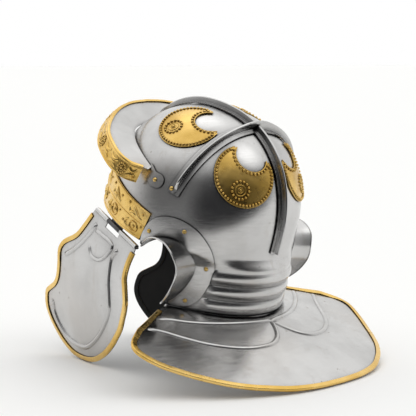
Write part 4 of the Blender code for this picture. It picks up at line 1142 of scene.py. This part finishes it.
def bar_loops(path, fin_heights, grow=0.0):
    """T profiles with rounded roots and tops along a path of (point, normal, side direction)."""
    loops = []
    low = PLATE_LIFT - 3.0 * grow
    flange = PLATE_LIFT + BAR_FLANGE + grow
    for (point, normal, side), fin_height in zip(path, fin_heights):
        half_width = BAR_HALF_WIDTH + grow
        fin = BAR_FIN_HALF_WIDTH + grow
        top = flange + fin_height
        fillet = min(BAR_FILLET, 0.5 * fin_height)
        crown = min(fin, 0.4 * fin_height)
        right = [(half_width, low), (half_width, flange), (fin + fillet, flange)]
        right += [(fin + 0.3 * fillet, flange + 0.3 * fillet), (fin, flange + fillet)]
        right += [(fin, top - crown), (0.88 * fin, top - 0.5 * crown), (0.5 * fin, top - 0.14 * crown)]
        right.append((0.12 * fin, top))
        profile = right + [(-across, rise) for across, rise in reversed(right)]
        loops.append([point + side * across + normal * rise for across, rise in profile])
    return loops


def long_bar_point(turn):
    """Point over the crown in the middle plane, from the front over the top to the rear."""
    power = 2.0 / BOWL_DOME_POWER
    y = math.copysign(abs(math.sin(turn)) ** power, turn) * BOWL_HALF_LENGTH
    return Vector((0.0, y, BOWL_HEIGHT * max(math.cos(turn), 0.0) ** power))


def long_bar_path(start, end, stations):
    path = []
    for share in along_path(stations):
        point = long_bar_point(mix(start, end, share))
        path.append((point, dome_normal(point), Vector((1.0, 0.0, 0.0))))
    return path


def long_bar_front():
    return -solve(lambda turn: long_bar_point(turn).z - LONG_BAR_FRONT_HEIGHT, 0.0, 0.5 * math.pi)


def make_long_bar(steel):
    bm = bmesh.new()
    path = long_bar_path(long_bar_front(), 0.5 * math.pi, BAR_STATIONS)
    rear_angle = 0.5 * math.pi
    rear_level = level_on_plane(rear_angle, LONG_BAR_REAR_HEIGHT, 0.0)
    for share in (0.2, 0.4, 0.6, 0.8, 1.0):
        level = share * rear_level
        path.append((skin(rear_angle, level), skin_normal(rear_angle, level), Vector((1.0, 0.0, 0.0))))
    front = path[0][0]
    fins = []
    for point, _, _ in path:
        from_front = (point - front).length
        fins.append(mix(BAR_END_FIN, BAR_FIN_HEIGHT, smooth_step(from_front / 9.0)))
    sweep(bm, bar_loops(path, fins))
    bar = solid("long_bar_ridged", bm, [steel])
    soften(bar, BAR_SOFT_EDGE)
    settle_piece(bar, "helmet", "polished_steel", "long_bar")


def side_bar_point(turn):
    """Point on the crown in the leaning plane of the side bar, by the angle up from the left."""
    crossing = crown_point(0.0, BAR_CROSSING_Y)
    foot = Vector((0.0, BAR_CROSSING_Y - math.tan(SIDE_BAR_LEAN) * crossing.z, 0.0))
    way = Vector((math.cos(turn), math.sin(SIDE_BAR_LEAN) * math.sin(turn),
                  math.cos(SIDE_BAR_LEAN) * math.sin(turn)))

    def outside(reach):
        point = foot + way * reach
        return (onto_crown(point) - point).dot(point)

    return foot + way * solve(outside, 0.2 * BOWL_HALF_WIDTH, 2.0 * BOWL_HALF_WIDTH)


def side_bar_ends():
    low = solve(lambda turn: side_bar_point(turn).z - SIDE_BAR_END_HEIGHT, 0.05, 1.2)
    return low, math.pi - low


def make_side_bar(steel):
    bm = bmesh.new()
    left, right = side_bar_ends()
    path = []
    fins = []
    crossing = crown_point(0.0, BAR_CROSSING_Y)
    end_points = [side_bar_point(left), side_bar_point(right)]
    for share in along_path(BAR_STATIONS):
        turn = mix(left, right, share)
        point = side_bar_point(turn)
        along = (side_bar_point(turn + 0.01) - side_bar_point(turn - 0.01)).normalized()
        normal = dome_normal(point)
        path.append((point, normal, normal.cross(along).normalized()))
        to_end = min((point - end).length for end in end_points)
        bridge = math.exp(-((point - crossing).length / BAR_BRIDGE_REACH) ** 2)
        fin = mix(BAR_END_FIN, BAR_FIN_HEIGHT, smooth_step((to_end - 0.4 * SIDE_BAR_TAB) / SIDE_BAR_TAB))
        fins.append(fin + bridge * (BAR_BRIDGE + SEAT_GAP))
    sweep(bm, bar_loops(path, fins))
    bar = solid("side_bar_ridged", bm, [steel])
    around = math.asin((BAR_CROSSING_Y / BOWL_HALF_LENGTH) ** (0.5 * BOWL_DOME_POWER))
    cut_path = long_bar_path(around - 0.25, around + 0.25, 16)
    cutter = bmesh.new()
    sweep(cutter, bar_loops(cut_path, [BAR_FIN_HEIGHT] * len(cut_path), SEAT_GAP))
    combine(bar, cutter, 'DIFFERENCE')
    soften(bar, BAR_SOFT_EDGE)
    settle_piece(bar, "helmet", "polished_steel", "side_bar")


# Crescents

def crescent_frame(rosette):
    """Centre of the left crescent's disc, and its directions to the crossing and across."""
    rosette_point = crown_point(*rosette)
    crossing = crown_point(0.0, BAR_CROSSING_Y)
    toward = square_to(crossing - rosette_point, dome_normal(rosette_point))
    centre = onto_crown(rosette_point + toward * ROSETTE_DROP)
    normal = dome_normal(centre)
    toward = square_to(crossing - centre, normal)
    return centre, toward, normal.cross(toward)


def make_crescent(name, rosette, side, brass):
    centre, toward, across = crescent_frame(rosette)
    lift = PLATE_LIFT + CRESCENT_THICKNESS

    def place(way, height):
        point = onto_crown(centre + toward * way[0] + across * way[1])
        normal = dome_normal(point)
        return mirrored(point + normal * height, side), mirrored(normal, side)

    offset = CRESCENT_CUT_OFFSET
    reach = (offset ** 2 + CRESCENT_RADIUS ** 2 - CRESCENT_CUT_RADIUS ** 2) / (2.0 * offset)
    horn = math.acos(reach / CRESCENT_RADIUS)
    cut_horn = math.acos((reach - offset) / CRESCENT_CUT_RADIUS)
    blunt = 0.06

    def on_edge(share, cut, inset=0.0):
        """Flat place at a share of the outer edge or of the cut, a little way in from it."""
        first = cut_horn if cut else horn
        size = CRESCENT_CUT_RADIUS + inset if cut else CRESCENT_RADIUS - inset
        turn = mix(first, 2.0 * math.pi - first, share)
        return Vector(((offset if cut else 0.0) + size * math.cos(turn), size * math.sin(turn)))

    bm = bmesh.new()
    loops = []
    for part in along_path(CRESCENT_STATIONS):
        share = mix(blunt, 1.0 - blunt, part)
        outer = on_edge(share, False)
        inner = on_edge(share, True)
        ways = [outer.lerp(inner, column) for column in along_path(CRESCENT_COLUMNS)]
        top, bottom = [[place(way, height)[0] for way in ways] for height in (lift, PLATE_LIFT)]
        loops.append(plate_loop(top, bottom))
    plate_sweep(bm, loops)
    # columns: the cut or the outer edge, its length, shares left free of pearls and of the line at its ends
    edges = [
        (False, 2.0 * (math.pi - horn) * CRESCENT_RADIUS, 0.045, 0.03),
        (True, 2.0 * (math.pi - cut_horn) * CRESCENT_CUT_RADIUS, 0.07, 0.05),
    ]
    for cut, length, end, line_end in edges:
        count = int(length / PEARL_SPACING)
        for index in range(1, count):
            spot = on_edge(mix(end, 1.0 - end, index / count), cut, PEARL_INSET)
            dome(bm, *place(spot, lift), PEARL_RADIUS, PEARL_HEIGHT)
        line = [place(on_edge(mix(line_end, 1.0 - line_end, part), cut, RIM_LINE_INSET), lift)
                for part in along_path(70)]
        raised_line(bm, line, 0.55, 0.4)

    def round_rosette(radius, count):
        return [place((radius * math.cos(turn) - ROSETTE_DROP, radius * math.sin(turn)), lift)
                for turn in round_turns(count)]

    for spot in round_rosette(ROSETTE_PEARL_RING, ROSETTE_PEARLS):
        dome(bm, *spot, PEARL_RADIUS, PEARL_HEIGHT)
    for radius in ROSETTE_RINGS:
        raised_line(bm, round_rosette(radius, 24), 0.6, 0.6, closed=True)
    dome(bm, *place((-ROSETTE_DROP, 0.0), lift), 1.7, 1.3, 14)
    crescent = solid(name + "_embossed", bm, [brass])
    settle_piece(crescent, "helmet", "old_brass", name)


# Ear guards

def make_ear_guard(name, side, steel):
    """Plate riveted round the ear opening, with a flange that stands out and a bead on its rim."""
    bm = bmesh.new()
    plate_columns = 8
    flange_parts = (0.12, 0.25, 0.4, 0.55, 0.7, 0.85, 1.0)
    low = PLATE_LIFT
    high = PLATE_LIFT + EAR_PLATE_THICKNESS
    loops = []
    bead = []
    for share in along_path(EAR_STATIONS - 1):
        y, height, width, projection, flare = ear_edge(share)
        out_y, out_height = ear_edge_outward(share)
        top = []
        bottom = []
        for column in range(plate_columns + 1):
            distance = mix(width, 0.0, column / plate_columns)
            angle, level = side_place(y + out_y * distance, height + out_height * distance)
            bottom.append(lifted(angle, level, low))
            if column == plate_columns:
                angle, level = side_place(y + out_y * EAR_FLANGE_THICKNESS,
                                          height + out_height * EAR_FLANGE_THICKNESS)
            top.append(lifted(angle, level, high))
        root_x = bottom[plate_columns].x
        back = Vector((0.0, out_y, out_height))
        for part in flange_parts:
            lean = flare * part ** 1.6
            rim = Vector((root_x + projection * part, y + out_y * lean, height + out_height * lean))
            bottom.append(rim)
            top.append(rim + back * EAR_FLANGE_THICKNESS)
        bead.append(0.5 * (top[-1] + bottom[-1]) - Vector((0.5 * EAR_BEAD, 0.0, 0.0)))
        top = [mirrored(point, side) for point in top]
        bottom = [mirrored(point, side) for point in bottom]
        loops.append(plate_loop(top, bottom))
    plate_sweep(bm, loops)
    rings = []
    for index, point in enumerate(bead):
        along = (bead[min(index + 1, len(bead) - 1)] - bead[max(index - 1, 0)]).normalized()
        first = along.cross(Vector((1.0, 0.0, 0.0))).normalized()
        second = along.cross(first)
        rings.append([mirrored(point + (first * math.cos(turn) + second * math.sin(turn)) * EAR_BEAD, side)
                      for turn in round_turns(10)])
    sweep(bm, rings)
    guard = solid(name + "_beaded", bm, [steel])
    settle_piece(guard, "helmet", "polished_steel", name)


# Neck guard

def guard_rim(share):
    """Rim of the neck guard from its left front corner (0) round the rear to the right one (1)."""
    half = 1.0 - abs(2.0 * share - 1.0)
    across, reach, drop = curve_through(GUARD_RIM, half)
    side = 1.0 if share <= 0.5 else -1.0
    return Vector((side * across * GUARD_HALF_WIDTH, mix(GUARD_FRONT_Y, GUARD_REAR_Y, reach),
                   GUARD_FRONT_HEIGHT - drop * GUARD_DROP))


def guard_seat(share):
    """Inner edge of the neck guard, on the ledge under the nape's lower edge."""
    front = solve(lambda turn: skin(turn, -NAPE_DEPTH).y - GUARD_FRONT_Y, 0.0, 0.5 * math.pi, 30)
    angle = mix(front, math.pi - front, share)
    point = skin(angle, -NAPE_DEPTH)
    inward = Vector((point.x, point.y, 0.0)).normalized()
    drop = SEAT_GAP + GUARD_THICKNESS * 0.5
    return point - inward * GUARD_LEDGE - Vector((0.0, 0.0, drop)), inward


def guard_point(share, out):
    """Middle of the neck guard's sheet: share round the neck, out from the neck (0) to the rim (1)."""
    seat, inward = guard_seat(share)
    ledge = seat + inward * (2.0 * GUARD_LEDGE)
    rim = guard_rim(share)
    if out <= 0.0:
        return seat
    reach = (out - 1.0 / GUARD_ROWS) / (1.0 - 1.0 / GUARD_ROWS)
    return ledge.lerp(rim, max(reach, 0.0))


def guard_place(x, y):
    """Point and normal on the guard's upper face at a plan place, found by share and reach."""
    share = 0.5
    out = 0.5
    step = 0.002
    for _ in range(40):
        here = guard_point(share, out)
        by_share = (guard_point(share + step, out) - here) / step
        by_out = (guard_point(share, out + step) - here) / step
        error_x = x - here.x
        error_y = y - here.y
        spread = by_share.x * by_out.y - by_share.y * by_out.x
        share += 0.7 * (error_x * by_out.y - error_y * by_out.x) / spread
        out += 0.7 * (by_share.x * error_y - by_share.y * error_x) / spread
        share = min(max(share, 0.002), 0.995)
        out = min(max(out, 0.22), 0.99)
    here = guard_point(share, out)
    beside = guard_point(share + step, out) - here
    beyond = guard_point(share, out + step) - here
    normal = beside.cross(beyond).normalized()
    if normal.z < 0.0:
        normal.negate()
    return here + normal * (0.5 * GUARD_THICKNESS), normal


def make_neck_guard(steel):
    bm = bmesh.new()
    loops = []
    half = Vector((0.0, 0.0, GUARD_THICKNESS * 0.5))
    outs = [0.0, 0.1, 1.0 / GUARD_ROWS]
    outs += [mix(1.0 / GUARD_ROWS, 1.0, part) for part in along_path(GUARD_FINE_ROWS)[1:]]
    for share in along_path((GUARD_STATIONS - 1) * GUARD_FINENESS):
        middle = [guard_point(share, out) for out in outs]
        loops.append(plate_loop([point + half for point in middle], [point - half for point in middle]))
    plate_sweep(bm, loops)
    for side in (1.0, -1.0):
        for rows, steps in ((NECK_LINE, 30), (MOON_LINE, 60)):
            places = []
            for part in along_path(steps):
                across, reach = curve_through(rows, part)
                places.append(guard_place(side * across * GUARD_HALF_WIDTH, reach * GUARD_REAR_Y))
            raised_line(bm, places, LINE_HALF_WIDTH, LINE_HEIGHT)
    guard = solid("neck_guard_embossed", bm, [steel])
    settle_piece(guard, "helmet", "polished_steel", "neck_guard")


# Folded brass edging

def edging_profile(sheet):
    """Rounded fold of brass over a sheet's edge: inward distance and height, as a thick line."""
    half = sheet * 0.5 + EDGING_CLEARANCE
    outer = half + EDGING_THICKNESS
    end = EDGING_CLEARANCE + EDGING_THICKNESS

    def fold(height, depth):
        points = []
        for part in along_path(EDGING_ROUND_STEPS * 2):
            turn = math.pi * (0.5 - part)
            points.append((-depth * math.cos(turn) ** 0.8, height * math.sin(turn)))
        return points

    outside = [(EDGING_WIDTH, outer - 0.25), (EDGING_WIDTH - 0.4, outer)] + fold(outer, end)
    outside += [(EDGING_WIDTH - 0.4, -outer), (EDGING_WIDTH, 0.25 - outer)]
    inside = [(EDGING_WIDTH, -half)] + list(reversed(fold(half, EDGING_CLEARANCE))) + [(EDGING_WIDTH, half)]
    return outside + inside


def fold_edging(bm, stations, sheet):
    """Sweep the edging along stations of (point on the edge, point inside it on the sheet)."""
    loops = []
    last = len(stations) - 1
    for index, (point, inside) in enumerate(stations):
        before = (point - stations[index - 1][0]).normalized() if index else None
        after = (stations[index + 1][0] - point).normalized() if index < last else None
        along = ((before or after) + (after or before)).normalized()
        mitre = 1.0 / max(along.dot(before or after), 0.6)
        inward = square_to(inside - point, along)
        up = along.cross(inward).normalized()
        loops.append([point + inward * (way * mitre) + up * rise for way, rise in edging_profile(sheet)])
    sweep(bm, loops)


def make_neck_guard_trim(brass):
    bm = bmesh.new()
    front_rows = (0.4, 0.6, 0.8)
    inner = 1.0 - 1.0 / GUARD_ROWS
    beside = 1.0 / (GUARD_STATIONS - 1)
    stations = [(guard_point(0.0, out), guard_point(beside, out)) for out in front_rows]
    stations.append((guard_rim(0.0), guard_point(beside, inner)))
    fine = (GUARD_STATIONS - 1) * GUARD_FINENESS
    for share in along_path(fine)[GUARD_FINENESS:-GUARD_FINENESS]:
        stations.append((guard_rim(share), guard_point(share, inner)))
    stations.append((guard_rim(1.0), guard_point(1.0 - beside, inner)))
    for out in reversed(front_rows):
        stations.append((guard_point(1.0, out), guard_point(1.0 - beside, out)))
    fold_edging(bm, stations, GUARD_THICKNESS)
    trim = solid("neck_guard_edging", bm, [brass])
    settle_piece(trim, "helmet", "brass", "neck_guard_trim")


# Cheek pieces, in a frame on the hinge: X forward along the pin, Y down the plate, Z outward

def hinge_frame(side):
    """Matrix of the hinge's frame in the helmet's frame. On the right side its Z points inward."""
    forward = (HINGE_FRONT - HINGE_REAR).normalized()
    plumb = Vector((0.0, -math.sin(CHEEK_PLUMB_PITCH), -math.cos(CHEEK_PLUMB_PITCH)))
    plumb = square_to(plumb, forward)
    outward = forward.cross(plumb)
    down = plumb * math.cos(CHEEK_SWING) + outward * math.sin(CHEEK_SWING)
    axes = [mirrored(forward, side), mirrored(down, side)]
    axes.append(axes[0].cross(axes[1]))
    return frame_matrix(axes, mirrored(HINGE_REAR, side) * MM)


def hinge_length():
    return (HINGE_FRONT - HINGE_REAR).length


def cheek_point(forward, down, lift, side):
    """Point on the plate, which bends inward with the square of the way down."""
    slope = 2.0 * CHEEK_BEND * down
    scale = 1.0 / math.sqrt(1.0 + slope * slope)
    return Vector((forward, down + lift * slope * scale, side * (-CHEEK_BEND * down * down + lift * scale)))


def cheek_row(share):
    down, front, rear = curve_through(CHEEK_ROWS, share)
    return down * CHEEK_LENGTH, front * CHEEK_LENGTH, rear * CHEEK_LENGTH


def cheek_ornament(bm, side):
    """Raised lines on the outer face: border, slanting line and drop."""
    lines = [
        (CHEEK_SLANT, 24, LINE_HALF_WIDTH),
        (CHEEK_DROP, 40, DROP_HALF_WIDTH),
        (CHEEK_BORDER, 80, LINE_HALF_WIDTH),
    ]
    for rows, steps, half_width in lines:
        places = []
        for part in along_path(steps):
            forward, down = [value * CHEEK_LENGTH for value in curve_through(rows, part)]
            foot = cheek_point(forward, down, 0.5 * CHEEK_THICKNESS, side)
            head = cheek_point(forward, down, 1.0 + 0.5 * CHEEK_THICKNESS, side)
            places.append((foot, (head - foot).normalized()))
        raised_line(bm, places, half_width, LINE_HEIGHT)


def hinge_bar(start, end, radius):
    """Round bar along the hinge's axis."""
    bm = bmesh.new()
    round_bar(bm, Vector((start, 0.0, 0.0)), Vector((end, 0.0, 0.0)), radius)
    return bm


def make_cheek(side, word, space, steel, brass, dark_steel, inside_black_and_shade):
    bm = bmesh.new()
    loops = []
    half = CHEEK_THICKNESS * 0.5
    steps = (len(CHEEK_ROWS) - 1) * CHEEK_FINENESS
    for share in along_path(steps):
        down, front, rear = cheek_row(share)
        edges = [mix(front, rear, column / CHEEK_COLUMNS) for column in range(CHEEK_COLUMNS + 1)]
        top = [cheek_point(forward, down, half, side) for forward in edges]
        bottom = [cheek_point(forward, down, -half, side) for forward in edges]
        loops.append(plate_loop(top, bottom))
    plate_sweep(bm, loops)
    inward = (space.to_3x3() @ Vector((0.0, 0.0, -side))).normalized()
    piece = solid(f"cheek_plate_{word}", bm, [steel, inside_black_and_shade], space)
    notch = bmesh.new()
    box(notch, (CENTRE_KNUCKLE_START - KNUCKLE_GAP, -2.0 * KNUCKLE_RADIUS, -NOTCH_DEPTH),
        (CENTRE_KNUCKLE_END + KNUCKLE_GAP, NOTCH_DEPTH, NOTCH_DEPTH))
    combine(piece, notch, 'DIFFERENCE', space)
    knuckles = [
        (0.0, CENTRE_KNUCKLE_START - KNUCKLE_GAP),
        (CENTRE_KNUCKLE_END + KNUCKLE_GAP, hinge_length()),
    ]
    for start, end in knuckles:
        combine(piece, hinge_bar(start, end, KNUCKLE_RADIUS), 'UNION', space)
    bore = hinge_bar(-BORE_REACH, hinge_length() + BORE_REACH, PIN_RADIUS + PIN_CLEARANCE)
    combine(piece, bore, 'DIFFERENCE', space)
    # Inner faces of the plate: black paint darkened further as painted shade
    blacken(piece, inward)
    settle_piece(piece, f"cheek_{word}", "polished_steel", f"cheek_piece_{word}")
    lines = bmesh.new()
    cheek_ornament(lines, side)
    lines_piece = solid(f"cheek_lines_{word}", lines, [steel], space)
    settle_piece(lines_piece, f"cheek_{word}", "polished_steel")
    make_cheek_trim(side, word, space, [brass, inside_black_and_shade], inward)
    make_hinge(side, word, space, dark_steel)


def make_cheek_trim(side, word, space, materials, inward):
    """Brass edging from the hinge's front down round the tip and up to the hinge's rear."""
    bm = bmesh.new()
    rows = len(CHEEK_ROWS) - 1
    steps = rows * CHEEK_FINENESS
    stations = []
    for edge, order in ((1, range(CHEEK_FINENESS, steps + 1)), (2, range(steps, CHEEK_FINENESS - 1, -1))):
        for index in order:
            row = cheek_row(index / steps)
            down = row[0]
            middle = 0.5 * (row[1] + row[2])
            rise = 0.04 * CHEEK_LENGTH * max(index / CHEEK_FINENESS - rows + 3.0, 0.0)
            stations.append((cheek_point(row[edge], down, 0.0, side),
                             cheek_point(mix(row[edge], middle, 0.4), down - rise, 0.0, side)))
    stations = [station for index, station in enumerate(stations)
                if index == 0 or (station[0] - stations[index - 1][0]).length > 0.01]
    fold_edging(bm, stations, CHEEK_THICKNESS)
    trim = solid(f"cheek_edging_{word}", bm, materials, space)
    # Inner faces of the edging: black paint darkened further as painted shade
    blacken(trim, inward)
    settle_piece(trim, f"cheek_{word}", "brass", f"cheek_trim_{word}")


def hinge_wall_offset():
    """Distance of the bowl's skin outside the pin's line, half way along the centre knuckle."""
    share = 0.5 * (CENTRE_KNUCKLE_START + CENTRE_KNUCKLE_END) / hinge_length()
    middle = HINGE_REAR.lerp(HINGE_FRONT, share)
    angle = solve(lambda turn: skin(turn, 0.0).y - middle.y, -0.5 * math.pi, 0.5 * math.pi)
    return skin(angle, 0.0).x - middle.x


def make_hinge(side, word, space, dark_steel):
    """Centre knuckle with its leaf, and the pin."""
    bm = hinge_bar(CENTRE_KNUCKLE_START, CENTRE_KNUCKLE_END, KNUCKLE_RADIUS)
    leaf = solid(f"hinge_knuckle_{word}", bm, [dark_steel], space)
    plate = bmesh.new()
    wall_inside = hinge_wall_offset() - BOWL_WALL + HINGE_LEAF_OUTSET
    low = (CENTRE_KNUCKLE_START + 1.0, -HINGE_LEAF_HEIGHT, wall_inside - HINGE_LEAF_THICKNESS)
    high = (CENTRE_KNUCKLE_END - 1.0, 0.5, wall_inside)
    if side < 0.0:
        low, high = (low[0], low[1], -high[2]), (high[0], high[1], -low[2])
    box(plate, low, high)
    bmesh.ops.transform(plate, matrix=Matrix.Rotation(side * CHEEK_SWING, 4, 'X'), verts=plate.verts)
    combine(leaf, plate, 'UNION', space)
    bore = hinge_bar(CENTRE_KNUCKLE_START - BORE_REACH, CENTRE_KNUCKLE_END + BORE_REACH,
                     PIN_RADIUS + PIN_CLEARANCE)
    combine(leaf, bore, 'DIFFERENCE', space)
    soften(leaf, 0.2)
    settle_piece(leaf, "helmet", "dark_steel", f"hinge_leaf_{word}")
    pin = hinge_bar(-2.5, hinge_length() + 1.0, PIN_RADIUS)
    pin_piece = solid(f"hinge_rod_{word}", pin, [dark_steel], space)
    soften(pin_piece, 0.3)
    settle_piece(pin_piece, "helmet", "dark_steel", f"hinge_pin_{word}")


# Rivets

def rivet_head(name, point, normal, radius, brass):
    bm = bmesh.new()
    height = RIVET_HEIGHT * radius / RIVET_RADIUS
    dome(bm, point, normal, radius, height, 20, sink=0.0)
    head = solid(name + "_head", bm, [brass])
    settle_piece(head, "helmet", "brass", name)


def make_rivets(brass):
    spots = []
    plate_top = PLATE_LIFT + EAR_PLATE_THICKNESS + SEAT_GAP
    for number, share in enumerate(EAR_RIVET_PLACES, start=1):
        y, height, width = ear_edge(share)[:3]
        out_y, out_height = ear_edge_outward(share)
        angle, level = side_place(y + out_y * 0.6 * width, height + out_height * 0.6 * width)
        spots.append((f"ear_rivet_{number}", lifted(angle, level, plate_top), skin_normal(angle, level)))
    angle, level = side_place(PEAK_TAB_REACH - PEAK_TAB_HALF_WIDTH - 3.0, PEAK_TAB_HEIGHT)
    peak_top = SEAT_GAP + PEAK_THICKNESS + SEAT_GAP
    spots.append(("brow_guard_rivet", lifted(angle, level, peak_top), skin_normal(angle, level)))
    point = side_bar_point(side_bar_ends()[0] + 0.045)
    normal = dome_normal(point)
    forward = square_to(Vector((0.0, -1.0, 0.0)), normal)
    bar_top = PLATE_LIFT + BAR_FLANGE + SEAT_GAP
    spots.append(("side_bar_rivet", point + forward * 4.0 + normal * bar_top, normal))
    for side, word in ((1.0, "left"), (-1.0, "right")):
        for name, point, normal in spots:
            rivet_head(f"{name}_{word}", mirrored(point, side), mirrored(normal, side), RIVET_RADIUS, brass)
    rear_angle = 0.5 * math.pi
    rear_level = 0.5 * LONG_BAR_REAR_HEIGHT
    normal = skin_normal(rear_angle, rear_level)
    place = skin(rear_angle, rear_level) + REAR_RIVET_ASIDE + normal * (bar_top + 0.5 * SEAT_GAP)
    rivet_head("long_bar_rear_rivet", place, normal, RIVET_RADIUS, brass)
    point = long_bar_point(long_bar_front() + 0.04)
    normal = dome_normal(point)
    place = point + FRONT_RIVET_ASIDE + normal * bar_top
    rivet_head("long_bar_front_rivet", place, normal, SMALL_RIVET_RADIUS, brass)


# Stage

def make_floor():
    """Pale table top: it ends a little in front of the helmet, outside the camera's view."""
    forward = Vector((CAMERA_BACK.x, CAMERA_BACK.y, 0.0)).normalized()
    aside = Vector((-forward.y, forward.x, 0.0))
    bm = bmesh.new()
    corners = [forward * FLOOR_FRONT + aside * FLOOR_SIDE, forward * FLOOR_FRONT - aside * FLOOR_SIDE,
               forward * -FLOOR_BACK - aside * FLOOR_SIDE, forward * -FLOOR_BACK + aside * FLOOR_SIDE]
    bm.faces.new([bm.verts.new(corner) for corner in corners])
    bmesh.ops.recalc_face_normals(bm, faces=bm.faces)
    mesh = bpy.data.meshes.new("floor")
    bm.to_mesh(mesh)
    bm.free()
    floor = bpy.data.objects.new("floor", mesh)
    bpy.context.collection.objects.link(floor)
    material, _, _ = new_material("floor_paper", (0.95, 0.95, 0.945), 0.0, 0.8)
    mesh.materials.append(material)


def make_studio():
    """White backdrop, a bright ceiling, grey and dark sides and soft lamps; the camera sees white."""
    world = bpy.data.worlds.new("studio")
    bpy.context.scene.world = world
    world.use_nodes = True
    tree = world.node_tree
    background = tree.nodes["Background"]
    coordinate = tree.nodes.new("ShaderNodeTexCoord")

    def facing(direction, low, high):
        node = tree.nodes.new("ShaderNodeVectorMath")
        node.operation = 'DOT_PRODUCT'
        tree.links.new(coordinate.outputs["Generated"], node.inputs[0])
        node.inputs[1].default_value = Vector(direction).normalized()
        return ranged(tree, node.outputs["Value"], low, high, 0.0, 1.0)

    room = blended(tree, facing(BACKDROP_WAY, -0.45, 0.30), ROOM_SIDE, ROOM_BACKDROP)
    room = blended(tree, facing((0.0, 0.0, 1.0), 0.36, 0.90), room, ROOM_CEILING)
    room = blended(tree, facing(DARK_WAY, 0.64, 0.92), room, ROOM_DARK)
    for way in LAMP_WAYS:
        room = blended(tree, facing(way, 0.945, 0.998), room, ROOM_LAMP)
    path = tree.nodes.new("ShaderNodeLightPath")
    seen = blended(tree, path.outputs["Is Camera Ray"], room, (1.0, 1.0, 1.0))
    tree.links.new(seen, background.inputs["Color"])
    background.inputs["Strength"].default_value = 1.0


def make_camera():
    data = bpy.data.cameras.new("camera")
    data.lens = CAMERA_LENS
    data.sensor_width = CAMERA_SENSOR
    data.clip_end = 100.0
    camera = bpy.data.objects.new("camera", data)
    bpy.context.collection.objects.link(camera)
    camera.matrix_world = frame_matrix((CAMERA_RIGHT, CAMERA_UP, CAMERA_BACK), CAMERA_PLACE)
    bpy.context.scene.camera = camera


def build():
    steel = steel_material()
    inside_black_and_shade = inside_black_and_shade_material()
    dark_steel = dark_steel_material()
    brass = brass_material("brass", *BRASS_COLOURS, 0.20, 0.34)
    old_brass = brass_material("old_brass", *OLD_BRASS_COLOURS, 0.20, 0.38)
    make_bowl(steel, inside_black_and_shade)
    make_brow_band(brass)
    make_brow_guard(steel)
    make_brow_guard_trim(brass)
    make_long_bar(steel)
    make_side_bar(steel)
    make_neck_guard(steel)
    make_neck_guard_trim(brass)
    for side, word in ((1.0, "left"), (-1.0, "right")):
        make_crescent(f"crescent_front_{word}", FRONT_ROSETTE, side, old_brass)
        make_crescent(f"crescent_rear_{word}", REAR_ROSETTE, side, old_brass)
        make_ear_guard(f"ear_guard_{word}", side, steel)
        make_cheek(side, word, HELMET @ hinge_frame(side), steel, brass, dark_steel, inside_black_and_shade)
    make_rivets(brass)
    make_floor()
    make_studio()
    make_camera()
    bpy.context.scene.view_settings.view_transform = 'Standard'


build()
